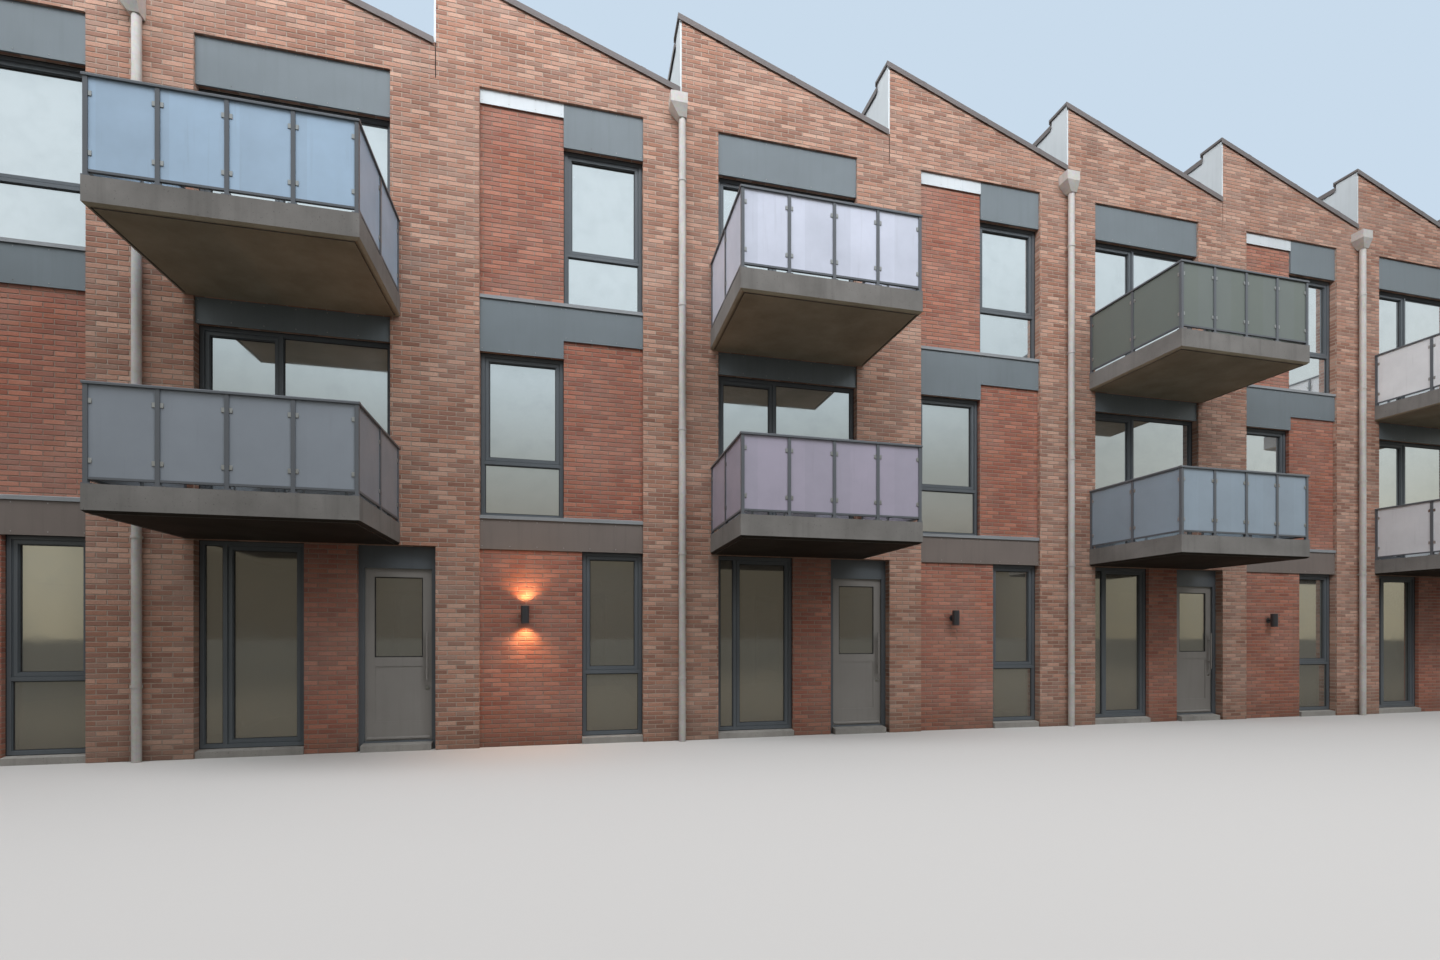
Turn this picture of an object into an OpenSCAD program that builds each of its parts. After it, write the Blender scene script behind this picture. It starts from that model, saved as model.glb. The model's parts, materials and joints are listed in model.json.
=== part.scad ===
// Row of terraced brick houses with sawtooth gables and stacked balconies.
// Each house is two bays wide: a balcony bay on its left and a window bay on its right.
// Millimetres, +Z up. The street side faces -Y. The origin is at ground level in the middle of the row.

/* [Row] */
// Number of houses in the row
houses = 5; // [2:1:6]
// Width of one bay, the distance between two gable peaks
bay_w = 3300; // [2750:50:4000]
// Depth of the row from street face to garden face
row_depth = 9600; // [8000:100:12000]
// Height from one floor to the next
storey_h = 2980; // [2760:20:3600]
// Thickness of the upper floors and of the balcony slabs
slab_t = 280; // [220:10:290]
// Height of the ground floor above the ground
ground_t = 100; // [60:10:110]

/* [Walls] */
// Thickness of the street and garden walls
wall_t = 350; // [300:10:450]
// Thickness of the walls between two houses
party_t = 250; // [200:10:300]
// Width of the brick piers between the openings
pier_w = 1100; // [900:50:1300]
// Width of the movement joints between the gables
joint_w = 12; // [8:1:20]
// How far the brick panels of the window bays lie behind the piers
panel_recess = 60; // [45:5:90]
// Height of the sills of the upper street windows above the floor, in the window bays
sill_rise = 150; // [100:10:250]
// Height of the sills of the upper garden windows above the floor
sill_h = 900; // [700:50:1100]

/* [Roof] */
// Height of the coping in the valleys above the foot of the gables
valley_h = 510; // [450:10:900]
// Height of a gable peak above its valley
gable_rise = 1056; // [700:4:1400]
// Height of the coping above the roof deck beside it
parapet_h = 150; // [130:10:250]
// Thickness of the roof decks
deck_t = 260; // [200:10:300]
// Thickness of the upstand walls at the steps in the roof
upstand_t = 150; // [120:10:200]
// Width of the valley gutters
gutter_w = 220; // [180:10:300]
// Depth of the deck below a valley gutter
gutter_floor = 90; // [60:5:120]
// Thickness of the metal copings
coping_t = 40; // [25:5:50]
// Overhang of the copings in front of the brickwork
coping_lip = 30; // [20:5:50]
// Depth of the turned-down edges of the copings
coping_drop = 45; // [20:5:60]
// Thickness of the turned-down edges and other folded edges
fold_t = 8; // [4:1:10]
// Thickness of the cladding on the step faces
clad_t = 20; // [12:2:30]

/* [Windows] */
// Height of the metal head panels above the upper windows
head_h = 590; // [500:10:650]
// Height of the upper head panels where they cross the brick panels, below the floor
band_drop = 340; // [300:10:400]
// Height of the metal trim above the recessed upper panels
trim_h = 180; // [100:10:250]
// Thickness of the metal head panels and bands
head_t = 40; // [20:5:60]
// Distance of the head panels behind the face of the piers
head_recess = 30; // [15:5:40]
// Depth of the drip edges below the head panels
head_drip = 12; // [6:1:20]
// Distance of the window frames behind the face of the piers
frame_recess = 120; // [100:10:160]
// Width of the frame members seen from the front
frame_w = 60; // [45:5:80]
// Depth of the frames
frame_d = 80; // [60:5:100]
// Width of the stepped edge round each opening of a frame or sash
bead_w = 8; // [5:1:12]
// Depth of the stepped edge
bead_d = 14; // [8:1:20]
// Width of the opening sashes
sash_w = 48; // [35:1:60]
// Clearance between a sash and its frame
sash_gap = 3; // [2:1:5]
// How far a sash laps over the inner face of its frame
sash_lap = 8; // [5:1:12]
// How far a sash stands out on the inner face of its frame
sash_step = 14; // [8:1:20]
// Thickness of the glass units
glass_t = 28; // [20:2:36]
// Height of the lower fixed panes above the floor
guard_h = 900; // [800:50:1100]
// Width of the opening light beside the wide panes
casement_w = 900; // [700:50:1000]
// How far the metal sills stand out in front of the wall below them
sill_nose = 20; // [10:5:30]
// Thickness of the metal sills at their back
sill_t = 30; // [20:5:40]
// Fall of the sills from back to front
sill_fall = 18; // [8:1:18]
// Depth of the turned-down noses of the sills
nose_drop = 34; // [20:2:50]

/* [Ground floor openings] */
// Width of the terrace window below the balconies
terrace_w = 1180; // [1100:20:1300]
// Width of the front doorway
doorway_w = 960; // [900:10:1000]
// Width of the tall window in the window bay
tall_w = 850; // [600:50:900]

/* [Front doors] */
// Width of the door jambs
jamb_w = 55; // [40:5:70]
// Depth of the door jambs
jamb_d = 90; // [85:5:110]
// Distance of the door frames behind the face of the wall
door_recess = 130; // [90:10:160]
// Width of the stops that a leaf closes against
stop_w = 15; // [12:1:20]
// Gap between a closed leaf and its stops
stop_gap = 5; // [5:1:8]
// Thickness of a door leaf
leaf_t = 54; // [44:2:64]
// Height of a door leaf
leaf_h = 2300; // [2000:20:2350]
// Gap between a leaf and the jamb at its hinges
hinge_gap = 5; // [5:1:8]
// Gap between a leaf and the jamb at its latch
latch_gap = 9; // [8:1:12]
// Gap between a leaf and the floor
floor_gap = 15; // [10:1:20]
// Distance of the hinge line inside the inner face of a leaf
hinge_out = 10; // [9:1:12]
// Diameter of the hinge knuckles
knuckle_d = 14; // [10:1:16]
// Height of a hinge
hinge_h = 120; // [80:10:150]
// Width of each plate of a hinge
plate_w = 36; // [25:1:40]
// Height of the glazed part of a leaf
light_h = 1050; // [800:50:1200]
// Width of the frame round the glazed part of a leaf
stile_w = 130; // [110:10:180]
// Depth of the recessed field in the lower part of a leaf
field_d = 8; // [5:1:12]
// Height of the foot of the pull bar above the foot of the leaf
handle_z = 800; // [600:50:950]
// Diameter of the pull bar
handle_d = 28; // [20:2:36]
// Distance of the middle of the pull bar from the leaf
handle_out = 55; // [45:5:70]
// Height of the inner lever above the foot of the leaf
lever_z = 1035; // [950:5:1100]

/* [Balconies] */
// Least width of a balcony
balcony_w = 2440; // [2200:20:2600]
// Least overlap of a balcony with the pier on each side of it
balcony_lap = 120; // [80:10:200]
// How far a balcony stands out from the wall
balcony_d = 1680; // [1200:20:2000]
// Size of the chamfers along the underside of a balcony
chamfer = 25; // [10:5:40]
// Depth and width of the drip groove under the balcony edge
drip = 20; // [10:1:25]
// Height of the balcony rail above the balcony floor
rail_h = 1000; // [950:10:1200]
// Width of the top rail
rail_w = 60; // [50:5:80]
// Height of the top rail
rail_t = 30; // [24:2:40]
// Radius of the upper edges of the top rail
rail_r = 12; // [6:1:18]
// Width of the square balcony posts
post_w = 40; // [30:5:50]
// Width of the foot plates of the posts
plate_out = 90; // [70:5:110]
// Thickness of the foot plates
plate_t = 10; // [6:1:15]
// Number of panels in the front of a balustrade
front_panels = 4; // [2:1:6]
// Number of panels in each side of a balustrade
side_panels = 2; // [1:1:3]
// Thickness of the balustrade panels
pane_t = 12; // [8:1:20]
// Height of the foot of the balustrade panels above the balcony floor
pane_gap = 70; // [50:5:100]
// Height of the bottom rails
foot_rail_h = 24; // [16:2:30]
// Width of the bottom rails
foot_rail_w = 32; // [24:2:40]

/* [Fittings] */
// Diameter of the downpipes
pipe_d = 100; // [80:5:120]
// Thickness of the walls of the downpipes
pipe_wall = 4; // [3:1:6]
// Gap between the downpipes and the wall
pipe_gap = 25; // [15:5:40]
// Distance of a downpipe from the outlet of its gutter
pipe_offset = 110; // [60:5:130]
// Largest distance between two pipe brackets
bracket_step = 2000; // [1500:100:3000]
// Width and height of the outlet through a gable
outlet_w = 100; // [60:5:120]
// Depth of the rain hoppers in front of the wall
hopper_d = 200; // [160:10:260]
// Height of the rain hoppers
hopper_h = 300; // [250:10:400]
// Distance of the wall lamps from the doorways
lamp_x = 1140; // [700:20:1300]
// Height of the wall lamps above the ground
lamp_z = 1800; // [1600:50:2100]
// Diameter of the wall lamps
lamp_d = 110; // [80:5:140]
// Height of the wall lamps
lamp_h = 240; // [180:10:320]
// Distance of the middle of the wall lamps from the brickwork behind them
lamp_out = 110; // [95:5:150]

/* [Hidden] */
$fn = 32;
// The gables start a little below the next whole storey
gable_seat = 40;
bays = houses * 2;
row_w = bays * bay_w;
front_y = -row_depth / 2;
rear_y = row_depth / 2;
front_in = front_y + wall_t;
rear_in = rear_y - wall_t;
ground_top = storey_h - slab_t;
floor_z = [ground_t, storey_h, 2 * storey_h];
// The feet of the street windows in the window bays
foot_z = [ground_t, storey_h + sill_rise, 2 * storey_h + sill_rise];
first_top = 2 * storey_h - head_h;
band_low = 2 * storey_h - band_drop;
second_top = 3 * storey_h - gable_seat;
window_top = second_top - head_h;
valley_z = second_top + valley_h;
peak_z = valley_z + gable_rise;
slope = gable_rise / bay_w;
support_z = valley_z - parapet_h - deck_t;
pier_half = pier_w / 2;
mid_x = bay_w / 2;
zone_right = bay_w - pier_half;
zone_w = zone_right - pier_half;
// The face of the brickwork behind the head panels, as a distance behind the piers
trimmed = head_recess + head_t;
// Ground floor openings, measured from the left edge of the house
terrace_x = pier_half;
door_x = bay_w - doorway_w;
tall_x = bay_w + zone_right - tall_w;
// Front doors, their places in depth measured from the street face
leaf_w = doorway_w - 2 * jamb_w - hinge_gap - latch_gap;
frame_back = door_recess + jamb_d;
stop_d = jamb_d - leaf_t - stop_gap;
leaf_low = ground_t + floor_gap;
head_low = leaf_low + leaf_h + hinge_gap;
light_z = leaf_h - stile_w - light_h;
// Width of the joint between two stops where they meet
stop_joint = 1;
// A balcony reaches the piers on both sides of its window
balcony_span = max(balcony_w, zone_w + 2 * balcony_lap);
balcony_x = (bay_w - balcony_span) / 2;
balcony_y = front_y - balcony_d;
// Overlap of a cutting shape with the face that it cuts
lap = 1;
// How far a cutting slope runs on past both sides of its bay
run_on = 100;

brick = [0.55, 0.38, 0.32];
red_brick = [0.56, 0.34, 0.26];
concrete = [0.62, 0.61, 0.59];
grey_metal = [0.42, 0.46, 0.48];
pale_metal = [0.80, 0.81, 0.82];
dark_metal = [0.22, 0.23, 0.24];
steel = [0.70, 0.70, 0.70];
glass = [0.62, 0.72, 0.76, 0.5];
door_grey = [0.40, 0.41, 0.42];
zinc = [0.66, 0.68, 0.69];

// Left edge of a bay, counted from 0 at the left end of the row
function bay_x(bay) = -row_w / 2 + bay * bay_w;
function house_x(house) = bay_x(2 * house);
// Height of a face that follows the roof slope, from its height at the left edge of the bay
function sloped(level, dx) = level - dx * slope;
// Heights below the gable peaks: of the top of the brickwork under the coping, and of the roof deck
function brick_top(dx) = sloped(-coping_t, dx);
function deck_top(dx) = sloped(-parapet_h, dx);
// Points on an arc of a profile
function arc(x, y, r, from, to, steps = 4) =
    [for (i = [0 : steps]) let (a = from + (to - from) * i / steps) [x + r * cos(a), y + r * sin(a)]];

// A box between two corners
module block(low, high) {
    translate(low) cube(high - low);
}

// A profile given as [x, z] points, carried from one y to another
module along_y(points, from_y, to_y) {
    translate([0, to_y, 0]) rotate([90, 0, 0]) linear_extrude(to_y - from_y) polygon(points);
}

// A profile given as [y, z] points, carried from one x to another
module along_x(points, from_x, to_x) {
    translate([from_x, 0, 0]) rotate([90, 0, 90]) linear_extrude(to_x - from_x) polygon(points);
}

// What its children have below a face that follows the roof slope. Pieces that meet on a slope are cut by the
// same face
module below(level, from_y, to_y) {
    left = -run_on;
    right = bay_w + run_on;
    intersection() {
        along_y([[left, -peak_z - lap], [right, -peak_z - lap], [right, sloped(level, right)],
            [left, sloped(level, left)]], from_y, to_y);
        union() children();
    }
}

// What its children have above such a face
module above(level, from_y, to_y) {
    left = -run_on;
    right = bay_w + run_on;
    intersection() {
        along_y([[left, sloped(level, left)], [right, sloped(level, right)], [right, bay_w], [left, bay_w]],
            from_y, to_y);
        children();
    }
}

// Inside these two, y is the distance behind the outer face of the wall
module at_street() {
    translate([0, front_y, 0]) children();
}

module at_garden() {
    translate([0, rear_y, 0]) mirror([0, 1, 0]) children();
}

module each_house() {
    for (house = [0 : houses - 1]) translate([house_x(house), 0, 0]) children();
}

module each_bay(first = 0, step = 1) {
    for (bay = [first : step : bays - 1]) translate([bay_x(bay), 0, 0]) children();
}

// The left edge of a bay, at the height of the gable peaks
module at_peak(bay) {
    translate([bay_x(bay), 0, peak_z]) children();
}

// Floors

// The room of one house in plan, between its side walls
function room_left(house) = house == 0 ? wall_t : party_t / 2;
function room_right(house) = house == houses - 1 ? wall_t : party_t / 2;

module floor_slabs(low, high) {
    for (house = [0 : houses - 1])
        block([house_x(house) + room_left(house), front_in, low],
            [house_x(house + 1) - room_right(house), rear_in, high]);
}

module ground_floor_slabs() {
    color(concrete) floor_slabs(0, ground_t);
}

module first_floor_slabs() {
    color(concrete) floor_slabs(storey_h - slab_t, storey_h);
}

module second_floor_slabs() {
    color(concrete) floor_slabs(2 * storey_h - slab_t, 2 * storey_h);
}

// Side walls

module party_walls() {
    color(concrete)
        for (house = [1 : houses - 1])
            block([house_x(house) - party_t / 2, front_in, 0],
                [house_x(house) + party_t / 2, rear_in, support_z]);
}

module end_walls() {
    color(brick) {
        at_peak(0) below(-coping_t, front_in, rear_in)
            block([0, front_in, -peak_z], [wall_t, rear_in, 0]);
        at_peak(bays - 1) below(-coping_t, front_in, rear_in)
            block([bay_w - wall_t, front_in, -peak_z], [bay_w, rear_in, 0]);
    }
}

// Street wall

// A pier centred on a bay line, cut off at the ends of the row
module pier(bay, low, high) {
    block([max(bay_x(bay) - pier_half, -row_w / 2), 0, low],
        [min(bay_x(bay) + pier_half, row_w / 2), wall_t, high]);
}

// The pier right of a doorway is what the doorway leaves of a whole one
module front_ground_walls() {
    color(brick) at_street() {
        for (house = [0 : houses]) pier(2 * house, 0, ground_top);
        each_house() block([bay_w, 0, 0], [bay_w + pier_half, wall_t, ground_top]);
    }
}

module front_ground_infill() {
    color(red_brick) at_street() each_house() {
        block([terrace_x + terrace_w, panel_recess, 0], [door_x, wall_t, ground_top]);
        block([bay_w + pier_half, panel_recess, 0], [tall_x, wall_t, ground_top]);
    }
}

module front_upper_piers() {
    color(brick) at_street() for (bay = [0 : bays]) pier(bay, ground_top, second_top);
}

module front_lintels() {
    color(brick) at_street() {
        each_bay(0, 2) {
            block([pier_half, 0, ground_top], [zone_right, wall_t, storey_h]);
            // Behind its head panel a lintel is set back, and behind the balcony slab it comes forward again
            along_x([[trimmed, first_top], [wall_t, first_top], [wall_t, 2 * storey_h], [0, 2 * storey_h],
                [0, 2 * storey_h - slab_t], [trimmed, 2 * storey_h - slab_t]], pier_half, zone_right);
            block([pier_half, trimmed, window_top], [zone_right, wall_t, second_top]);
        }
        each_bay(1, 2) {
            block([pier_half, trimmed, ground_top], [zone_right, wall_t, foot_z[1]]);
            along_y([[pier_half, first_top], [mid_x, first_top], [mid_x, band_low], [zone_right, band_low],
                [zone_right, foot_z[2]], [pier_half, foot_z[2]]], trimmed, wall_t);
            block([mid_x, trimmed, window_top], [zone_right, wall_t, second_top]);
        }
    }
}

// Where the middle of the gutter of a bay lies, and the height of its floor
function outlet_x(bay) = (bay == bays - 1 ? bay_w - wall_t : bay_w) - gutter_w / 2;
function outlet_z(bay) =
    peak_z + deck_top(bay == bays - 1 ? bay_w - wall_t : bay_w) - deck_t + gutter_floor;

module outlet_hole(bay) {
    block([outlet_x(bay) - outlet_w / 2, -lap, outlet_z(bay)],
        [outlet_x(bay) + outlet_w / 2, wall_t + lap, outlet_z(bay) + outlet_w]);
}

module gable() {
    left = joint_w / 2;
    right = bay_w - joint_w / 2;
    foot = second_top - peak_z;
    translate([0, 0, peak_z]) below(-coping_t, 0, wall_t) block([left, 0, foot], [right, wall_t, 0]);
}

// The last gable of each house lets the rainwater of its gutter through
module front_gables() {
    color(brick) at_street() {
        each_bay(0, 2) gable();
        for (bay = [1 : 2 : bays - 1]) translate([bay_x(bay), 0, 0]) difference() {
            gable();
            outlet_hole(bay);
        }
    }
}

// Upper left and lower right of each window bay
module recessed_brick_panels() {
    color(red_brick) at_street() each_bay(1, 2) {
        block([pier_half, panel_recess, foot_z[2]], [mid_x, wall_t, second_top]);
        block([mid_x, panel_recess, foot_z[1]], [zone_right, wall_t, band_low]);
    }
}

module panel_trims() {
    foot = second_top - trim_h;
    color(pale_metal) at_street() each_bay(1, 2)
        along_x([[head_recess, foot - head_drip], [head_recess + fold_t, foot - head_drip],
            [head_recess + fold_t, foot], [panel_recess, foot], [panel_recess, second_top],
            [head_recess, second_top]], pier_half, mid_x);
}

// A folded panel with a drip edge below its face
module head_panel(from_x, to_x, low, high) {
    drip_low = low - head_drip;
    along_x([[head_recess, drip_low], [head_recess + fold_t, drip_low], [head_recess + fold_t, low],
        [trimmed, low], [trimmed, high], [head_recess, high]], from_x, to_x);
}

module slab_edge_bands() {
    color(grey_metal) at_street() each_bay(1, 2) head_panel(pier_half, zone_right, ground_top, foot_z[1]);
}

module window_head_panels() {
    color(grey_metal) at_street() {
        each_bay(0, 2) {
            head_panel(pier_half, zone_right, first_top, 2 * storey_h - slab_t);
            head_panel(pier_half, zone_right, window_top, second_top);
        }
        each_bay(1, 2) {
            head_panel(pier_half, mid_x, first_top, foot_z[2]);
            head_panel(mid_x, zone_right, band_low, foot_z[2]);
            head_panel(mid_x, zone_right, window_top, second_top);
        }
    }
}

// Garden wall

module rear_piers() {
    color(brick) at_garden() for (bay = [0 : bays]) pier(bay, 0, second_top);
}

module rear_lintels() {
    color(brick) at_garden() each_bay() {
        block([pier_half, 0, ground_top], [zone_right, wall_t, storey_h]);
        block([pier_half, 0, first_top], [zone_right, wall_t, 2 * storey_h]);
        block([pier_half, 0, window_top], [zone_right, wall_t, second_top]);
    }
}

module rear_spandrels() {
    color(red_brick) at_garden() each_bay() for (floor = [1, 2])
        block([pier_half, panel_recess, floor_z[floor]], [zone_right, wall_t, floor_z[floor] + sill_h]);
}

module rear_gables() {
    color(brick) at_garden() each_bay() gable();
}

// Windows

// Each window as its left edge in the house, sill height, width, height, transom heights, mullion distances
// and the numbers of the lights that open
front_ground_windows = [
    [terrace_x, ground_t, terrace_w, ground_top - ground_t, [], [terrace_w - casement_w], [1]],
    [tall_x, ground_t, tall_w, ground_top - ground_t, [guard_h], [], [1]]];
front_first_windows = [
    [pier_half, storey_h, zone_w, first_top - storey_h, [], [casement_w], [0]],
    [bay_w + pier_half, foot_z[1], mid_x - pier_half, first_top - foot_z[1], [guard_h - sill_rise], [], [1]]];
front_second_windows = [
    [pier_half, 2 * storey_h, zone_w, window_top - 2 * storey_h, [], [casement_w], [0]],
    [bay_w + mid_x, foot_z[2], mid_x - pier_half, window_top - foot_z[2], [guard_h - sill_rise], [], [1]]];
rear_windows = [
    for (x = [pier_half, bay_w + pier_half]) each [
        [x, ground_t, zone_w, ground_top - ground_t, [], [casement_w], [0]],
        [x, storey_h + sill_h, zone_w, first_top - storey_h - sill_h, [], [casement_w], [0]],
        [x, 2 * storey_h + sill_h, zone_w, window_top - 2 * storey_h - sill_h, [], [casement_w], [0]]]];

// The lights between the members of a window, each as left, bottom, right and top
function lights(window) =
    let (xs = concat([frame_w / 2], window[5], [window[2] - frame_w / 2]),
        zs = concat([frame_w / 2], window[4], [window[3] - frame_w / 2]))
    [for (i = [0 : len(xs) - 2], j = [0 : len(zs) - 2])
        [xs[i] + frame_w / 2, zs[j] + frame_w / 2, xs[i + 1] - frame_w / 2, zs[j + 1] - frame_w / 2]];

function opens(window, light) = len(search(light, window[6])) > 0;

// A light made smaller on all sides
function shrunk(light, by) = [light[0] + by, light[1] + by, light[2] - by, light[3] - by];

// A plate that fills a light, between two depths
module fill(light, from_y, to_y) {
    block([light[0], from_y, light[1]], [light[2], to_y, light[3]]);
}

// A hole through a frame or sash, with a stepped edge on its outer face
module rebated_hole(light, from_y, to_y) {
    fill(light, from_y - lap, to_y + lap);
    fill(shrunk(light, -bead_w), from_y - lap, from_y + bead_d);
}

module window_frame(window) {
    difference() {
        block([0, 0, 0], [window[2], frame_d, window[3]]);
        for (light = lights(window)) rebated_hole(light, 0, frame_d);
    }
}

// A sash stands in its light and laps over the inner face of the frame
module sash(light) {
    difference() {
        union() {
            fill(shrunk(light, sash_gap), bead_d, frame_d);
            fill(shrunk(light, -sash_lap), frame_d, frame_d + sash_step);
        }
        rebated_hole(shrunk(light, sash_gap + sash_w), bead_d, frame_d + sash_step);
    }
}

module window_glass(window) {
    all_lights = lights(window);
    for (i = [0 : len(all_lights) - 1])
        if (opens(window, i)) fill(shrunk(all_lights[i], sash_gap + sash_w), frame_d - glass_t, frame_d);
        else fill(all_lights[i], (frame_d - glass_t) / 2, (frame_d + glass_t) / 2);
}

module window_sashes_of(window) {
    all_lights = lights(window);
    for (i = window[6]) sash(all_lights[i]);
}

module place(window) {
    translate([window[0], frame_recess, window[1]]) children();
}

module frames(windows) {
    each_house() for (window = windows) place(window) window_frame(window);
}

module panes(windows) {
    each_house() for (window = windows) place(window) window_glass(window);
}

module front_frames_ground() {
    color(dark_metal) at_street() frames(front_ground_windows);
}

module front_frames_first() {
    color(dark_metal) at_street() frames(front_first_windows);
}

module front_frames_second() {
    color(dark_metal) at_street() frames(front_second_windows);
}

module front_glass_ground() {
    color(glass) at_street() panes(front_ground_windows);
}

module front_glass_first() {
    color(glass) at_street() panes(front_first_windows);
}

module front_glass_second() {
    color(glass) at_street() panes(front_second_windows);
}

module rear_frames() {
    color(dark_metal) at_garden() frames(rear_windows);
}

module rear_glass() {
    color(glass) at_garden() panes(rear_windows);
}

module window_sashes() {
    front_windows = concat(front_ground_windows, front_first_windows, front_second_windows);
    color(dark_metal) {
        at_street() each_house() for (window = front_windows) place(window) window_sashes_of(window);
        at_garden() each_house() for (window = rear_windows) place(window) window_sashes_of(window);
    }
}

// A folded sill from the face at its back to its nose in front of the wall below
module metal_sill(from_x, to_x, back, wall_face) {
    nose = wall_face - sill_nose;
    along_x([[back, 0], [back, sill_t], [nose, sill_t - sill_fall], [nose, -nose_drop],
        [nose + fold_t, -nose_drop], [nose + fold_t, 0]], from_x, to_x);
}

// A flat threshold in front of the balcony windows, level with the balcony at its front edge
module threshold() {
    along_x([[0, 0], [frame_recess, 0], [frame_recess, sill_t - fold_t], [0, fold_t]], pier_half, zone_right);
}

module window_sills() {
    color(grey_metal) {
        at_street() {
            each_bay(0, 2) for (floor = [1, 2]) translate([0, 0, floor_z[floor]]) threshold();
            each_bay(1, 2) {
                translate([0, 0, foot_z[1]]) {
                    metal_sill(pier_half, mid_x, frame_recess, head_recess);
                    metal_sill(mid_x, zone_right, panel_recess, head_recess);
                }
                translate([0, 0, foot_z[2]]) {
                    metal_sill(pier_half, mid_x, panel_recess, head_recess);
                    metal_sill(mid_x, zone_right, frame_recess, head_recess);
                }
            }
        }
        at_garden() each_bay() for (floor = [1, 2]) translate([0, 0, floor_z[floor] + sill_h])
            metal_sill(pier_half, zone_right, frame_recess, panel_recess);
    }
}

// A concrete sill on the ground, weathered in front of its window
module ground_sill(from_x, to_x, face) {
    along_x([[face, 0], [wall_t, 0], [wall_t, ground_t], [frame_recess, ground_t],
        [face, ground_t - sill_fall]], from_x, to_x);
}

module ground_sills() {
    color(concrete) {
        at_street() each_house() {
            ground_sill(terrace_x, terrace_x + terrace_w, sill_nose);
            ground_sill(tall_x, tall_x + tall_w, sill_nose);
        }
        at_garden() each_bay() ground_sill(pier_half, zone_right, sill_nose);
    }
}

// Balconies

module each_balcony(floor) {
    each_bay(0, 2) translate([balcony_x, balcony_y, floor_z[floor]]) children();
}

// A drip groove that follows the three free edges
module drip_groove() {
    outer = chamfer + drip;
    inner = outer + drip;
    difference() {
        block([outer, outer, -slab_t - lap], [balcony_span - outer, balcony_d - outer, -slab_t + drip]);
        block([inner, inner, -slab_t - lap], [balcony_span - inner, balcony_d, -slab_t + drip + lap]);
    }
}

module balcony_slab() {
    low = -slab_t;
    difference() {
        intersection() {
            along_x([[0, 0], [0, low + chamfer], [chamfer, low], [balcony_d, low], [balcony_d, 0]],
                0, balcony_span);
            along_y([[0, 0], [0, low + chamfer], [chamfer, low], [balcony_span - chamfer, low],
                [balcony_span, low + chamfer], [balcony_span, 0]], 0, balcony_d);
        }
        drip_groove();
    }
}

module balcony_slabs_first() {
    color(concrete) each_balcony(1) balcony_slab();
}

module balcony_slabs_second() {
    color(concrete) each_balcony(2) balcony_slab();
}

// Left edges of the front posts, and front edges of the posts along the sides
post_in = (rail_w - post_w) / 2;
post_top = rail_h - rail_t;
front_step = (balcony_span - 2 * post_in - post_w) / front_panels;
side_step = (balcony_d - post_in - post_w) / side_panels;
front_posts = [for (i = [0 : front_panels]) post_in + i * front_step];
side_posts = [for (i = [0 : side_panels]) post_in + i * side_step];
plate_half = (plate_out - post_w) / 2;

// A post on its foot plate, which stays on the slab at the edges
module post(x, y) {
    block([x, y, 0], [x + post_w, y + post_w, post_top]);
    block([max(0, x - plate_half), max(0, y - plate_half), 0],
        [min(balcony_span, x + post_w + plate_half), min(balcony_d, y + post_w + plate_half), plate_t]);
}

module balcony_posts() {
    color(dark_metal) for (floor = [1, 2]) each_balcony(floor) {
        for (x = front_posts) post(x, post_in);
        for (x = [front_posts[0], front_posts[front_panels]], i = [1 : side_panels]) post(x, side_posts[i]);
    }
}

// The cross-section of a top rail, with rounded upper edges
rail_section = concat([[0, post_top], [rail_w, post_top]],
    arc(rail_w - rail_r, rail_h - rail_r, rail_r, 0, 90), arc(rail_r, rail_h - rail_r, rail_r, 90, 180));
panel_y = post_in + post_w / 2;

module balcony_rails() {
    foot_low = pane_gap - foot_rail_h;
    color(dark_metal) for (floor = [1, 2]) each_balcony(floor) {
        along_x(rail_section, 0, balcony_span);
        for (x = [0, balcony_span - rail_w]) translate([x, 0, 0]) along_y(rail_section, rail_w, balcony_d);
        for (i = [0 : front_panels - 1])
            block([front_posts[i] + post_w, panel_y - foot_rail_w / 2, foot_low],
                [front_posts[i + 1], panel_y + foot_rail_w / 2, pane_gap]);
        for (x = [panel_y, balcony_span - panel_y], i = [0 : side_panels - 1])
            block([x - foot_rail_w / 2, side_posts[i] + post_w, foot_low],
                [x + foot_rail_w / 2, side_posts[i + 1], pane_gap]);
    }
}

module balcony_panels() {
    color(glass) for (floor = [1, 2]) each_balcony(floor) {
        for (i = [0 : front_panels - 1])
            block([front_posts[i] + post_w, panel_y - pane_t / 2, pane_gap],
                [front_posts[i + 1], panel_y + pane_t / 2, post_top]);
        for (x = [panel_y, balcony_span - panel_y], i = [0 : side_panels - 1])
            block([x - pane_t / 2, side_posts[i] + post_w, pane_gap],
                [x + pane_t / 2, side_posts[i + 1], post_top]);
    }
}

// Roof

// A deck falls from the upstand on its left to the gutter in front of the next one
module roof_decks() {
    color(dark_metal) for (bay = [0 : bays - 1]) at_peak(bay) {
        high_x = bay == 0 ? wall_t : upstand_t;
        low_x = bay == bays - 1 ? bay_w - wall_t : bay_w;
        gutter_x = low_x - gutter_w;
        low_z = deck_top(low_x) - deck_t;
        along_y([[high_x, deck_top(high_x) - deck_t], [low_x, low_z], [low_x, low_z + gutter_floor],
            [gutter_x, low_z + gutter_floor], [gutter_x, deck_top(gutter_x)], [high_x, deck_top(high_x)]],
            front_in, rear_in);
    }
}

module roof_upstands() {
    foot = support_z - peak_z;
    color(zinc) for (bay = [1 : bays - 1]) at_peak(bay)
        below(-parapet_h, front_in, rear_in) block([0, front_in, foot], [upstand_t, rear_in, 0]);
}

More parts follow.
